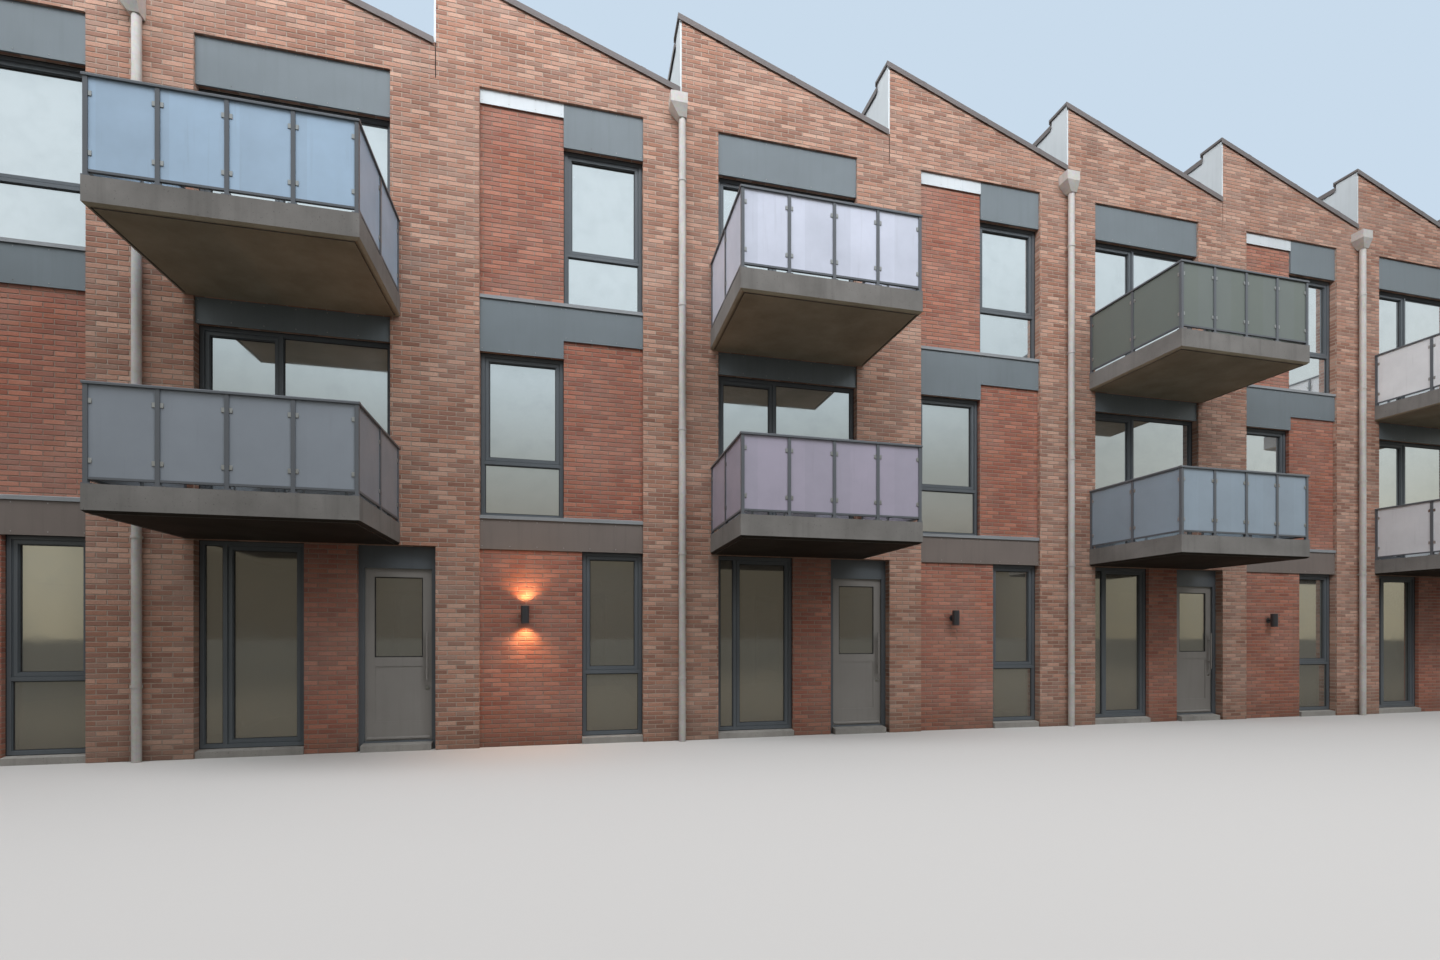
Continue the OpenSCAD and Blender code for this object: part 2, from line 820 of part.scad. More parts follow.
// The step faces are clad: between the decks from the gutter up, and on the ends of the gables from the lower
// gable up
module step_claddings() {
    half = joint_w / 2;
    gutter_z = outlet_z(0) - peak_z;
    color(pale_metal) for (bay = [1 : bays - 1]) at_peak(bay) {
        below(-parapet_h, front_in, rear_in) block([-clad_t, front_in, gutter_z], [0, rear_in, 0]);
        gable_end(half, front_y, front_in);
        gable_end(half, rear_in, rear_y);
    }
}

// The cladding on the end of a gable stands on the lower gable and in the joint beside it
module gable_end(half, from_y, to_y) {
    below(-coping_t, from_y, to_y) {
        translate([-bay_w, 0, 0]) above(-coping_t, from_y, to_y)
            block([bay_w - clad_t, from_y, -bay_w], [bay_w - half, to_y, 0]);
        block([-half, from_y, brick_top(bay_w - half)], [half, to_y, 0]);
    }
}

// The depth of the inner turned-down edge, which stays above the caps on the steps
inner_drop = (parapet_h - 2 * coping_t) / 2;

// A strip along the slope, between two heights above the brickwork
module strip(from_x, to_x, low, high, from_y, to_y) {
    above(low - coping_t, from_y, to_y) below(high - coping_t, from_y, to_y)
        block([from_x, from_y, -bay_w], [to_x, to_y, bay_w]);
}

// A coping with a turned-down edge in front, and with one over the roof deck where it has a back edge
module coping(from_x, to_x, back_edge) {
    back = back_edge ? wall_t + coping_lip : wall_t;
    strip(from_x, to_x, 0, coping_t, -coping_lip, back);
    strip(from_x, to_x, -coping_drop, 0, -coping_lip, fold_t - coping_lip);
    if (back_edge) strip(from_x, to_x, -inner_drop, 0, back - fold_t, back);
}

// Above the end walls a coping has no edge over a deck
module gable_coping(bay) {
    coping(bay == 0 ? wall_t : -clad_t - coping_lip, bay == bays - 1 ? bay_w - wall_t : bay_w - clad_t, true);
    if (bay == 0) coping(-coping_lip, wall_t, false);
    if (bay == bays - 1) coping(bay_w - wall_t, bay_w + coping_lip, false);
}

module roof_copings() {
    color(dark_metal) for (bay = [0 : bays - 1]) at_peak(bay) {
        at_street() gable_coping(bay);
        at_garden() gable_coping(bay);
    }
}

// A cap along the slope, from its free end with a turned-down edge to its far end
module cap(free_x, far_x, level) {
    edge_x = free_x + sign(far_x - free_x) * fold_t;
    edge_z = sloped(level, free_x) - coping_drop;
    below(level + coping_t, front_in, rear_in) {
        above(level, front_in, rear_in)
            block([min(free_x, far_x), front_in, -bay_w], [max(free_x, far_x), rear_in, bay_w]);
        block([min(free_x, edge_x), front_in, edge_z], [max(free_x, edge_x), rear_in, edge_z + bay_w]);
    }
}

// Caps over the upstands and the two end walls
module ridge_caps() {
    color(dark_metal) {
        for (bay = [1 : bays - 1]) at_peak(bay) cap(-clad_t - coping_lip, upstand_t, -parapet_h);
        at_peak(0) cap(-coping_lip, wall_t, -coping_t);
        at_peak(bays - 1) cap(bay_w + coping_lip, bay_w - wall_t, -coping_t);
    }
}

// Fittings

// Distance of the middle of a downpipe behind the face of the wall, and height of the foot of its hopper
pipe_y = -pipe_gap - pipe_d / 2;
function hopper_z(bay) = outlet_z(bay) + outlet_w + 2 * fold_t - hopper_h;

// A hopper tapers from the gutter outlet to the head of its pipe
module hopper_body() {
    top_w = outlet_w / 2 + fold_t;
    foot_w = pipe_d / 2 + fold_t;
    intersection() {
        along_y([[pipe_offset - foot_w, 0], [pipe_offset + foot_w, 0], [pipe_offset + foot_w, hopper_h],
            [-top_w - 2 * fold_t, hopper_h], [-top_w - 2 * fold_t, hopper_h / 2]], -hopper_d, 0);
        along_x([[0, hopper_h / 4], [0, hopper_h], [-hopper_d, hopper_h], [-hopper_d, hopper_h / 2],
            [pipe_y - foot_w, 0], [pipe_y + foot_w, 0]], -bay_w, bay_w);
    }
}

// A hopper with its sleeve through the gable
module rain_hopper(bay) {
    foot = hopper_z(bay);
    sleeve = outlet_z(bay);
    translate([outlet_x(bay), 0, 0]) difference() {
        union() {
            translate([0, 0, foot]) hopper_body();
            block([-outlet_w / 2, 0, sleeve], [outlet_w / 2, wall_t, sleeve + outlet_w]);
        }
        translate([pipe_offset, pipe_y, foot - lap]) cylinder(d = pipe_d - 2 * pipe_wall, h = hopper_h);
        // The open top
        block([-outlet_w / 2 - fold_t, fold_t - hopper_d, foot + hopper_h / 2],
            [pipe_offset + pipe_d / 2, -fold_t, foot + hopper_h + lap]);
        // The bore of the sleeve
        block([pipe_wall - outlet_w / 2, -2 * fold_t, sleeve + pipe_wall],
            [outlet_w / 2 - pipe_wall, wall_t + lap, sleeve + outlet_w - pipe_wall]);
    }
}

module rain_hoppers() {
    color(zinc) at_street() for (bay = [1 : 2 : bays - 1]) translate([bay_x(bay), 0, 0]) rain_hopper(bay);
}

// A pipe from its hopper to the ground, with brackets on plates against the wall
module downpipe(bay) {
    top = hopper_z(bay);
    brackets = ceil(top / bracket_step);
    clip_h = 4 * fold_t;
    translate([outlet_x(bay) + pipe_offset, 0, 0]) difference() {
        union() {
            translate([0, pipe_y, 0]) cylinder(d = pipe_d, h = top);
            for (i = [1 : brackets]) translate([0, 0, (i - 0.5) * top / brackets]) {
                translate([0, pipe_y, 0]) cylinder(d = pipe_d + 2 * fold_t, h = clip_h);
                block([-fold_t, pipe_y, 0], [fold_t, 0, clip_h]);
                block([-pipe_d / 3, -fold_t / 2, -fold_t], [pipe_d / 3, 0, clip_h + fold_t]);
            }
        }
        translate([0, pipe_y, -lap]) cylinder(d = pipe_d - 2 * pipe_wall, h = top + 2 * lap);
    }
}

module downpipes() {
    color(zinc) at_street() for (bay = [1 : 2 : bays - 1]) translate([bay_x(bay), 0, 0]) downpipe(bay);
}

// A round lamp that shines up and down, on an arm with a round plate
module wall_lamp() {
    lens_d = lamp_d - 4 * fold_t;
    lens_in = 3 * fold_t;
    difference() {
        translate([0, -lamp_out, -lamp_h / 2]) cylinder(d = lamp_d, h = lamp_h);
        for (z = [-lamp_h / 2 - lap, lamp_h / 2 - lens_in])
            translate([0, -lamp_out, z]) cylinder(d = lens_d, h = lens_in + lap);
    }
    rotate([90, 0, 0]) cylinder(d = lamp_d * 0.9, h = fold_t);
    rotate([90, 0, 0]) cylinder(d = lamp_d / 3, h = lamp_out - lamp_d / 4);
}

module wall_lamps() {
    color(dark_metal) at_street() each_house()
        translate([door_x + doorway_w + lamp_x, panel_recess, lamp_z]) wall_lamp();
}

// Front doors

module front_door_jambs() {
    color(dark_metal) at_street() each_house() for (x = [door_x, door_x + doorway_w - jamb_w])
        block([x, door_recess, 0], [x + jamb_w, frame_back, ground_top]);
}

module front_door_heads() {
    left = door_x + jamb_w;
    right = door_x + doorway_w - jamb_w;
    color(dark_metal) at_street() each_house()
        block([left, door_recess, head_low], [right, frame_back, ground_top]);
}

// A weathered concrete step between the jambs
module front_door_sills() {
    color(concrete) at_street() each_house()
        along_x([[0, 0], [wall_t, 0], [wall_t, ground_t], [door_recess, ground_t], [0, ground_t - sill_fall]],
            door_x + jamb_w, door_x + doorway_w - jamb_w);
}

// Bars in front of a closed leaf: a threshold bar, one stop on each jamb and one below the head
module front_door_stops() {
    left = door_x + jamb_w;
    right = door_x + doorway_w - jamb_w;
    bar_top = leaf_low + stop_gap;
    color(dark_metal) at_street() each_house() {
        along_x([[door_recess, ground_t], [door_recess + stop_d, ground_t], [door_recess + stop_d, bar_top],
            [door_recess + stop_d / 2, bar_top], [door_recess, (ground_t + bar_top) / 2]], left, right);
        for (x = [left, right - stop_w])
            block([x, door_recess, bar_top + stop_joint], [x + stop_w, door_recess + stop_d, head_low]);
        block([left + stop_w + stop_joint, door_recess, head_low - stop_w],
            [right - stop_w - stop_joint, door_recess + stop_d, head_low]);
    }
}

// Hinges, drawn with their line at x = 0 and y = 0. The leaf carries the middle knuckle and the jamb the
// other two
third = hinge_h / 3;
knuckle_gap = 1;
plate_x = knuckle_d;
hinge_zs = [for (share = [0.1, 0.5, 0.9]) leaf_low + share * leaf_h - hinge_h / 2];

// One knuckle and the tab that joins it to its plate, which lies on the side that side gives
module knuckle(low, high, side) {
    reach = side * plate_x;
    translate([0, 0, low]) cylinder(d = knuckle_d, h = high - low);
    block([min(0, reach), -hinge_out, low], [max(0, reach), -hinge_out / 2, high]);
}

module hinge_plate(side) {
    near = side * plate_x;
    far = side * (plate_x + plate_w);
    block([min(near, far), -hinge_out, 0], [max(near, far), fold_t / 2 - hinge_out, hinge_h]);
}

module jamb_hinge() {
    knuckle(0, third - knuckle_gap, -1);
    knuckle(2 * third + knuckle_gap, hinge_h, -1);
    hinge_plate(-1);
}

module leaf_hinge() {
    knuckle(third, 2 * third, 1);
    hinge_plate(1);
}

// The hinge line stands inside the inner face of the leaf, in the middle of the gap beside the jamb
module at_hinge_line() {
    translate([door_x + jamb_w + hinge_gap / 2, frame_back + hinge_out, 0]) children();
}

module front_door_hinges() {
    color(steel) at_street() each_house() at_hinge_line()
        for (z = hinge_zs) translate([0, 0, z]) jamb_hinge();
}

// The glazed part of a leaf
door_light = [stile_w, light_z, leaf_w - stile_w, leaf_h - stile_w];

// The lower left front corner of a leaf
module at_leaf() {
    translate([door_x + jamb_w + hinge_gap, frame_back - leaf_t, leaf_low]) children();
}

// A round bar on two stand-offs, on the street side
module pull_bar() {
    handle_len = 5 * stile_w;
    translate([leaf_w - stile_w / 2, -handle_out, handle_z]) {
        for (end = [1, 4]) translate([0, 0, end * handle_len / 5])
            rotate([-90, 0, 0]) cylinder(d = handle_d / 2, h = handle_out);
        cylinder(d = handle_d, h = handle_len);
    }
}

// A lever on a round rose, on the room side
module lever() {
    rose_d = 2 * handle_d;
    neck = 45;
    lever_len = 120;
    translate([leaf_w - stile_w / 2, leaf_t, lever_z]) {
        rotate([-90, 0, 0]) cylinder(d = rose_d, h = fold_t);
        rotate([-90, 0, 0]) cylinder(d = handle_d * 0.6, h = neck);
        translate([handle_d * 0.3, neck, 0]) rotate([0, -90, 0]) cylinder(d = handle_d * 0.6, h = lever_len);
    }
}

// A bar that throws rain off the foot of the leaf
module weather_bar() {
    inset = stop_w + 2 * latch_gap;
    along_x([[0, 2 * floor_gap], [-2 * floor_gap, 2 * floor_gap], [-2 * floor_gap, 3 * floor_gap],
        [0, 4 * floor_gap]], inset, leaf_w - inset);
}

// Hinged on its left, a leaf opens into the house
module front_door(house) {
    field = [stile_w, 2 * stile_w, leaf_w - stile_w, light_z - stile_w];
    color(door_grey) translate([house_x(house), 0, 0]) at_street() {
        at_leaf() {
            difference() {
                cube([leaf_w, leaf_t, leaf_h]);
                rebated_hole(door_light, 0, leaf_t);
                fill(field, -lap, field_d);
                fill(field, leaf_t - field_d, leaf_t + lap);
            }
            pull_bar();
            lever();
            weather_bar();
        }
        at_hinge_line() for (z = hinge_zs) translate([0, 0, z]) leaf_hinge();
    }
}

module front_door_glass(house) {
    color(glass) translate([house_x(house), 0, 0]) at_street() at_leaf()
        fill(door_light, (leaf_t - glass_t) / 2, (leaf_t + glass_t) / 2);
}

ground_floor_slabs();
first_floor_slabs();
second_floor_slabs();
party_walls();
end_walls();
front_ground_walls();
front_ground_infill();
front_upper_piers();
front_lintels();
front_gables();
recessed_brick_panels();
panel_trims();
slab_edge_bands();
window_head_panels();
rear_piers();
rear_lintels();
rear_spandrels();
rear_gables();
front_frames_ground();
front_frames_first();
front_frames_second();
front_glass_ground();
front_glass_first();
front_glass_second();
rear_frames();
rear_glass();
window_sashes();
window_sills();
ground_sills();
balcony_slabs_first();
balcony_slabs_second();
balcony_posts();
balcony_rails();
balcony_panels();
roof_decks();
roof_upstands();
step_claddings();
roof_copings();
ridge_caps();
rain_hoppers();
downpipes();
wall_lamps();
front_door_jambs();
front_door_heads();
front_door_sills();
front_door_stops();
front_door_hinges();
for (house = [1 : houses]) {
    front_door(house - 1);
    front_door_glass(house - 1);
}
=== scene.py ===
"""The looks of a row of terraced brick houses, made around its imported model.

Metres, +Z up. The street side faces -Y and +X runs along the row. Places come from the boxes of the CAD
nodes. Every house is two bays wide: a balcony bay on its left and a window bay on its right.
"""
import json
import math

import bmesh
import bpy
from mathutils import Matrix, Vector


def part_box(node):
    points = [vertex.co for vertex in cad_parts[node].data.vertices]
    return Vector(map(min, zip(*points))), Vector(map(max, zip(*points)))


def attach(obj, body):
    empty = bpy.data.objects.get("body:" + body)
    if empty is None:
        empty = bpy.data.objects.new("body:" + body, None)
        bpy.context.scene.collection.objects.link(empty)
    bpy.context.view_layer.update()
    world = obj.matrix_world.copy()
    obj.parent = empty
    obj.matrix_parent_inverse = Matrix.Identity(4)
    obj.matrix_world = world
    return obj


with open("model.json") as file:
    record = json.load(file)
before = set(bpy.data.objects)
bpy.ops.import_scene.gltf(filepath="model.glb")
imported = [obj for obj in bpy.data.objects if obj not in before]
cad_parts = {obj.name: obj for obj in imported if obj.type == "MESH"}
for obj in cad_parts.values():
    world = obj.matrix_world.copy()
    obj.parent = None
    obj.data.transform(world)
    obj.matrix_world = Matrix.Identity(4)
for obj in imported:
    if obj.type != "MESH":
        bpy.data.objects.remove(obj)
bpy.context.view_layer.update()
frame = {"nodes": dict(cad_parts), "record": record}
NODES = frame["nodes"]
ROW = "house_row"

# Places taken from the frame
PIER_LOW, PIER_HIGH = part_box("front_upper_piers")
FIRST_LOW, FIRST_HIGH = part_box("first_floor_slabs")
SECOND_LOW, SECOND_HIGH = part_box("second_floor_slabs")
ROW_LEFT, ROW_RIGHT = PIER_LOW.x, PIER_HIGH.x
FRONT_Y = PIER_LOW.y
REAR_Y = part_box("rear_piers")[1].y
WALL_T = PIER_HIGH.y - PIER_LOW.y
FLOORS = [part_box("ground_floor_slabs")[1].z, FIRST_HIGH.z, SECOND_HIGH.z]
GABLE_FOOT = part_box("front_gables")[0].z
HOUSES = sum(1 for name in NODES if name.startswith("front_door_glass_"))
BAYS = 2 * HOUSES
HOUSE_W = (ROW_RIGHT - ROW_LEFT) / HOUSES
BAY_W = HOUSE_W / 2

# Sizes of the brickwork
BRICK_LENGTH = 0.21
BRICK_HEIGHT = 0.05
JOINT = 0.0125
COURSE = BRICK_HEIGHT + JOINT
STRETCH = BRICK_LENGTH + JOINT

# Sizes of the openings, seen from the left edge of a house
ZONE_LEFT = 0.55
ZONE_MID = BAY_W / 2
ZONE_RIGHT = BAY_W - ZONE_LEFT
GROUND_TOP = FIRST_LOW.z
FIRST_HEAD = 5.37
SECOND_HEAD = 8.31
LOW_SILL = 0.15
HIGH_SILL = 0.9
SECOND_FOOT = FLOORS[2] + LOW_SILL
ROOM_H = 2.7
WIDE_WINDOW = 2.2
NARROW_WINDOW = 1.1
HALL_WINDOW = 0.85
DOORSIDE_WINDOW = 1.18
WIDE_MULLION = 0.9
NARROW_TRANSOM = 0.75
FRAME_Y = 0.12
FRAME_W = 0.06
SASH_EDGE = 0.051
SASH_FACE = 0.094
HEAD_Y = 0.03

# The roof slope and the height of the peaks
SLOPE = 0.32
PEAK_Z = 10.466
COPING_T = 0.04
COPING_LIP = 0.03
GABLE_GAP = 0.012

# Balconies and front doors
BALCONY_W = 2.44
BALCONY_D = 1.68
BALCONY_X = (BAY_W - BALCONY_W) / 2
POST_W = 0.04
POST_IN = 0.01
PANEL_LOW, PANEL_HIGH = 0.07, 0.97
PANEL_IN = POST_IN + POST_W / 2
FRONT_PANELS = 4
SIDE_PANELS = 2
LEAF_X = 2.4
LEAF_W = 0.836
LEAF_Z = 0.115
LEAF_Y = 0.166
LAMP_X, LAMP_Y, LAMP_Z = 4.44, -0.05, 1.8
LIT_HOUSE = 1


def house_left(house):
    """The left edge of a house."""
    return ROW_LEFT + house * HOUSE_W


def bay_left(bay):
    """The left edge of a bay."""
    return ROW_LEFT + bay * BAY_W


def brick_top(dx):
    """The top of a gable's brickwork, at a distance from the left edge of its bay."""
    return PEAK_Z - COPING_T - SLOPE * dx


# Node trees


class Tree:
    """A small helper that adds nodes to a material or a world and joins them."""

    def __init__(self, name, owner=None):
        self.material = owner or bpy.data.materials.new(name)
        self.material.use_nodes = True
        self.nodes = self.material.node_tree.nodes
        self.links = self.material.node_tree.links
        self.shader = self.nodes.get("Principled BSDF")
        self.place = None

    def add(self, kind, **values):
        node = self.nodes.new(kind)
        for key, value in values.items():
            setattr(node, key, value)
        return node

    def join(self, source, target):
        self.links.new(source, target)

    def feed(self, socket, value):
        """Gives a socket a number, a colour or another socket's output."""
        if isinstance(value, bpy.types.NodeSocket):
            self.join(value, socket)
        else:
            socket.default_value = value

    def math(self, operation, first, second=0.0):
        node = self.add("ShaderNodeMath", operation=operation)
        self.feed(node.inputs[0], first)
        self.feed(node.inputs[1], second)
        return node.outputs[0]

    def mix(self, factor, first, second, blend="MIX"):
        node = self.add("ShaderNodeMix", data_type="RGBA", blend_type=blend)
        self.feed(node.inputs[0], factor)
        self.feed(node.inputs[6], first)
        self.feed(node.inputs[7], second)
        return node.outputs[2]

    def position(self):
        """Coordinates in the row's own frame, in metres."""
        if self.place is None:
            self.place = self.add("ShaderNodeTexCoord").outputs["Object"]
        return self.place

    def normal(self):
        return self.add("ShaderNodeNewGeometry").outputs["True Normal"]

    def split(self, vector):
        node = self.add("ShaderNodeSeparateXYZ")
        self.join(vector, node.inputs[0])
        return node.outputs[0], node.outputs[1], node.outputs[2]

    def join_xyz(self, x, y, z):
        node = self.add("ShaderNodeCombineXYZ")
        for socket, value in zip(node.inputs, (x, y, z)):
            self.feed(socket, value)
        return node.outputs[0]

    def scaled(self, x, y, z):
        """The place stretched along each axis, for streaks and grain."""
        node = self.add("ShaderNodeVectorMath", operation="MULTIPLY")
        self.join(self.position(), node.inputs[0])
        node.inputs[1].default_value = (x, y, z)
        return node.outputs[0]

    def noise(self, scale, detail=3.0, roughness=0.5, vector=None):
        node = self.add("ShaderNodeTexNoise")
        self.join(vector or self.position(), node.inputs["Vector"])
        node.inputs["Scale"].default_value = scale
        node.inputs["Detail"].default_value = detail
        node.inputs["Roughness"].default_value = roughness
        return node.outputs[0]

    def random_at(self, vector):
        node = self.add("ShaderNodeTexWhiteNoise", noise_dimensions="3D")
        self.join(vector, node.inputs["Vector"])
        return node.outputs[0]

    def ramp(self, factor, stops, interpolation="LINEAR"):
        node = self.add("ShaderNodeValToRGB")
        node.color_ramp.interpolation = interpolation
        elements = node.color_ramp.elements
        while len(elements) < len(stops):
            elements.new(1.0)
        for element, (place, colour) in zip(elements, stops):
            element.position = place
            element.color = colour
        self.feed(node.inputs[0], factor)
        return node.outputs[0]

    def curve(self, factor, low, high, to_low=0.0, to_high=1.0):
        """Maps low to high onto to_low to to_high, held at both ends."""
        node = self.add("ShaderNodeMapRange")
        self.feed(node.inputs[0], factor)
        for socket, value in zip(node.inputs[1:5], (low, high, to_low, to_high)):
            socket.default_value = value
        return node.outputs[0]

    def between(self, value, low, high):
        """1 where a value lies between two others, else 0."""
        above = self.math("GREATER_THAN", value, low)
        return self.math("MULTIPLY", above, self.math("LESS_THAN", value, high))

    def bump(self, height, strength, distance):
        node = self.add("ShaderNodeBump")
        node.inputs["Strength"].default_value = strength
        node.inputs["Distance"].default_value = distance
        self.join(height, node.inputs["Height"])
        return node.outputs[0]

    def finish(self, colour, roughness, normal=None, **constants):
        """Joins a colour, a roughness and the rest to the shader, and returns the material."""
        self.feed(self.shader.inputs["Base Color"], colour)
        self.feed(self.shader.inputs["Roughness"], roughness)
        if normal is not None:
            self.join(normal, self.shader.inputs["Normal"])
        for name, value in constants.items():
            self.feed(self.shader.inputs[name.replace("_", " ")], value)
        return self.material


def srgb(red, green, blue):
    """A colour written as 0 to 255 screen values, as the linear values that Blender takes."""

    def linear(value):
        share = value / 255
        return share / 12.92 if share <= 0.04045 else ((share + 0.055) / 1.055) ** 2.4

    return (linear(red), linear(green), linear(blue), 1.0)


def toned(colour, factor):
    """A colour made darker or paler."""
    return tuple(min(1.0, value * factor) for value in colour[:3]) + (1.0,)


# Materials

PLASTER = srgb(206, 203, 196)


def brick_material(name, tones, mortar_tone, red):
    """Stretcher bond at its true size on outer faces, and plaster on the faces of the rooms.

    The bond is laid out in the row's frame, so the raised bricks fall on it too.
    """
    tree = Tree(name)
    x, y, z = tree.split(tree.position())
    nx, _, nz = tree.split(tree.normal())
    faces_x = tree.math("GREATER_THAN", tree.math("ABSOLUTE", nx), 0.7)
    along = tree.math("ADD", tree.math("MULTIPLY", y, faces_x),
                      tree.math("MULTIPLY", x, tree.math("SUBTRACT", 1.0, faces_x)))
    level = tree.math("GREATER_THAN", tree.math("ABSOLUTE", nz), 0.7)
    up = tree.math("ADD", tree.math("MULTIPLY", y, level),
                   tree.math("MULTIPLY", z, tree.math("SUBTRACT", 1.0, level)))

    row = tree.math("DIVIDE", up, COURSE)
    row_number = tree.math("FLOOR", row)
    stagger = tree.math("FRACT", tree.math("MULTIPLY", row_number, 0.5))
    column = tree.math("ADD", tree.math("DIVIDE", along, STRETCH), stagger)
    column_number = tree.math("FLOOR", column)
    here = tree.join_xyz(column_number, row_number, faces_x)

    # Distance from the middle of the joint, in metres, on both axes
    wobble = tree.math("MULTIPLY", tree.math("SUBTRACT", tree.noise(26.0, 2.0), 0.5), 0.006)
    beside = tree.math("MULTIPLY", tree.math("PINGPONG", column, 0.5), STRETCH)
    above = tree.math("MULTIPLY", tree.math("PINGPONG", row, 0.5), COURSE)
    nearest = tree.math("ADD", tree.math("MINIMUM", beside, above), wobble)
    brick = tree.curve(nearest, JOINT / 2 - 0.0015, JOINT / 2 + 0.002)

    stops = [(i / len(tones), tone) for i, tone in enumerate(tones)]
    colour = tree.ramp(tree.random_at(here), stops, "CONSTANT")
    shade = tree.random_at(tree.join_xyz(column_number, tree.math("ADD", row_number, 0.37), faces_x))
    colour = tree.mix(tree.curve(shade, 0, 1, 0.0, 0.28), colour, toned(red, 0.5))
    speckle = tree.noise(95.0, 3.0, 0.65)
    colour = tree.mix(tree.curve(speckle, 0.42, 0.72, 0.0, 0.35), colour, toned(red, 0.42))
    bloom = tree.noise(1.1, 4.0, 0.6)
    colour = tree.mix(tree.curve(bloom, 0.42, 0.75, 0.0, 0.26), colour, srgb(200, 178, 164))
    grime = tree.noise(190.0, 2.0)
    mortar = tree.mix(tree.curve(grime, 0.3, 0.7, 0.0, 0.5), mortar_tone, toned(mortar_tone, 0.62))
    colour = tree.mix(brick, mortar, colour)
    streaks = tree.noise(1.0, 3.0, 0.6, tree.scaled(3.2, 3.2, 0.35))
    colour = tree.mix(tree.curve(streaks, 0.55, 0.8, 0.0, 0.2), colour, srgb(84, 70, 62))
    # Splashed soil just above the ground
    low_down = tree.curve(z, 0.05, 0.55, 0.5, 0.0)
    splash = tree.math("MULTIPLY", low_down, tree.curve(bloom, 0.3, 0.7, 0.4, 1.0))
    colour = tree.mix(splash, colour, srgb(88, 74, 60))

    tilt = tree.math("MULTIPLY", tree.random_at(tree.join_xyz(row_number, column_number, 3.7)), 0.3)
    relief = tree.math("ADD", tree.math("ADD", brick, tilt), tree.math("MULTIPLY", speckle, 0.25))

    # The faces that look into the rooms
    edge = 0.002
    across = tree.between(y, FRONT_Y + WALL_T - edge, REAR_Y - WALL_T + edge)
    along_room = tree.between(x, ROW_LEFT + WALL_T - edge, ROW_RIGHT - WALL_T + edge)
    inside = tree.math("MULTIPLY", tree.math("MULTIPLY", across, along_room),
                       tree.math("LESS_THAN", z, FLOORS[2] + ROOM_H))
    colour = tree.mix(inside, colour, PLASTER)
    relief = tree.math("MULTIPLY", relief, tree.math("SUBTRACT", 1.0, inside))
    return tree.finish(colour, tree.curve(speckle, 0.3, 0.7, 0.78, 0.95), tree.bump(relief, 0.75, 0.006))


def facing_brick():
    tones = [
        srgb(186, 141, 120), srgb(168, 124, 104), srgb(198, 155, 134), srgb(156, 117, 101),
        srgb(180, 135, 114), srgb(164, 131, 115), srgb(202, 163, 142), srgb(150, 110, 93)]
    return brick_material("brick", tones, srgb(180, 163, 148), srgb(164, 116, 96))


def panel_brick():
    tones = [
        srgb(178, 116, 96), srgb(164, 104, 86), srgb(188, 126, 104), srgb(154, 98, 82),
        srgb(172, 112, 90), srgb(160, 108, 92)]
    return brick_material("red_brick", tones, srgb(158, 136, 122), srgb(150, 92, 74))


def concrete_colour(tree, pale, dark):
    """The colour, roughness and bump of cast concrete, with pores and rain streaks."""
    cloud = tree.noise(1.6, 5.0, 0.6)
    pores = tree.noise(60.0, 1.0)
    colour = tree.mix(tree.curve(cloud, 0.3, 0.7), dark, pale)
    colour = tree.mix(tree.curve(pores, 0.68, 0.75, 0.0, 0.55), colour, toned(dark, 0.45))
    streaks = tree.noise(1.0, 3.0, 0.6, tree.scaled(9.0, 9.0, 0.7))
    colour = tree.mix(tree.curve(streaks, 0.52, 0.8, 0.0, 0.4), colour, toned(dark, 0.55))
    relief = tree.math("ADD", tree.math("MULTIPLY", tree.noise(160.0, 3.0, 0.7), 0.5),
                       tree.curve(pores, 0.68, 0.75, 0.0, -1.0))
    return colour, tree.curve(cloud, 0.3, 0.7, 0.72, 0.88), tree.bump(relief, 0.35, 0.002)


def concrete_material():
    tree = Tree("concrete")
    return tree.finish(*concrete_colour(tree, srgb(168, 165, 158), srgb(136, 133, 127)))


def balcony_concrete():
    """Weathered concrete, with its undersides painted dark as shade: near black under the first-floor
    balconies, paler under the second-floor ones.
    """
    tree = Tree("balcony_concrete")
    colour, roughness, normal = concrete_colour(tree, srgb(134, 132, 128), srgb(110, 108, 104))
    nz = tree.split(tree.normal())[2]
    # Painted shade on the undersides, mottled: a near-black tone for the first-floor balconies and a paler
    # one for the second-floor balconies
    underside_mottle = tree.noise(2.6, 4.0, 0.6)
    upper = tree.mix(tree.curve(underside_mottle, 0.3, 0.7), srgb(140, 130, 110), srgb(164, 153, 132))
    lower = tree.mix(tree.curve(underside_mottle, 0.3, 0.7), srgb(30, 23, 16), srgb(46, 38, 30))
    z = tree.split(tree.position())[2]
    underside_painted_shade = tree.mix(tree.math("GREATER_THAN", z, FIRST_HIGH.z), lower, upper)
    # The painted shade goes on the faces that look down
    colour = tree.mix(tree.math("LESS_THAN", nz, -0.5), colour, underside_painted_shade)
    return tree.finish(colour, roughness, normal)


def plaster_material():
    tree = Tree("plaster")
    cloud = tree.noise(2.2, 3.0)
    grain = tree.noise(220.0, 2.0)
    colour = tree.mix(cloud, PLASTER, toned(PLASTER, 1.12))
    return tree.finish(colour, 0.9, tree.bump(grain, 0.2, 0.001))


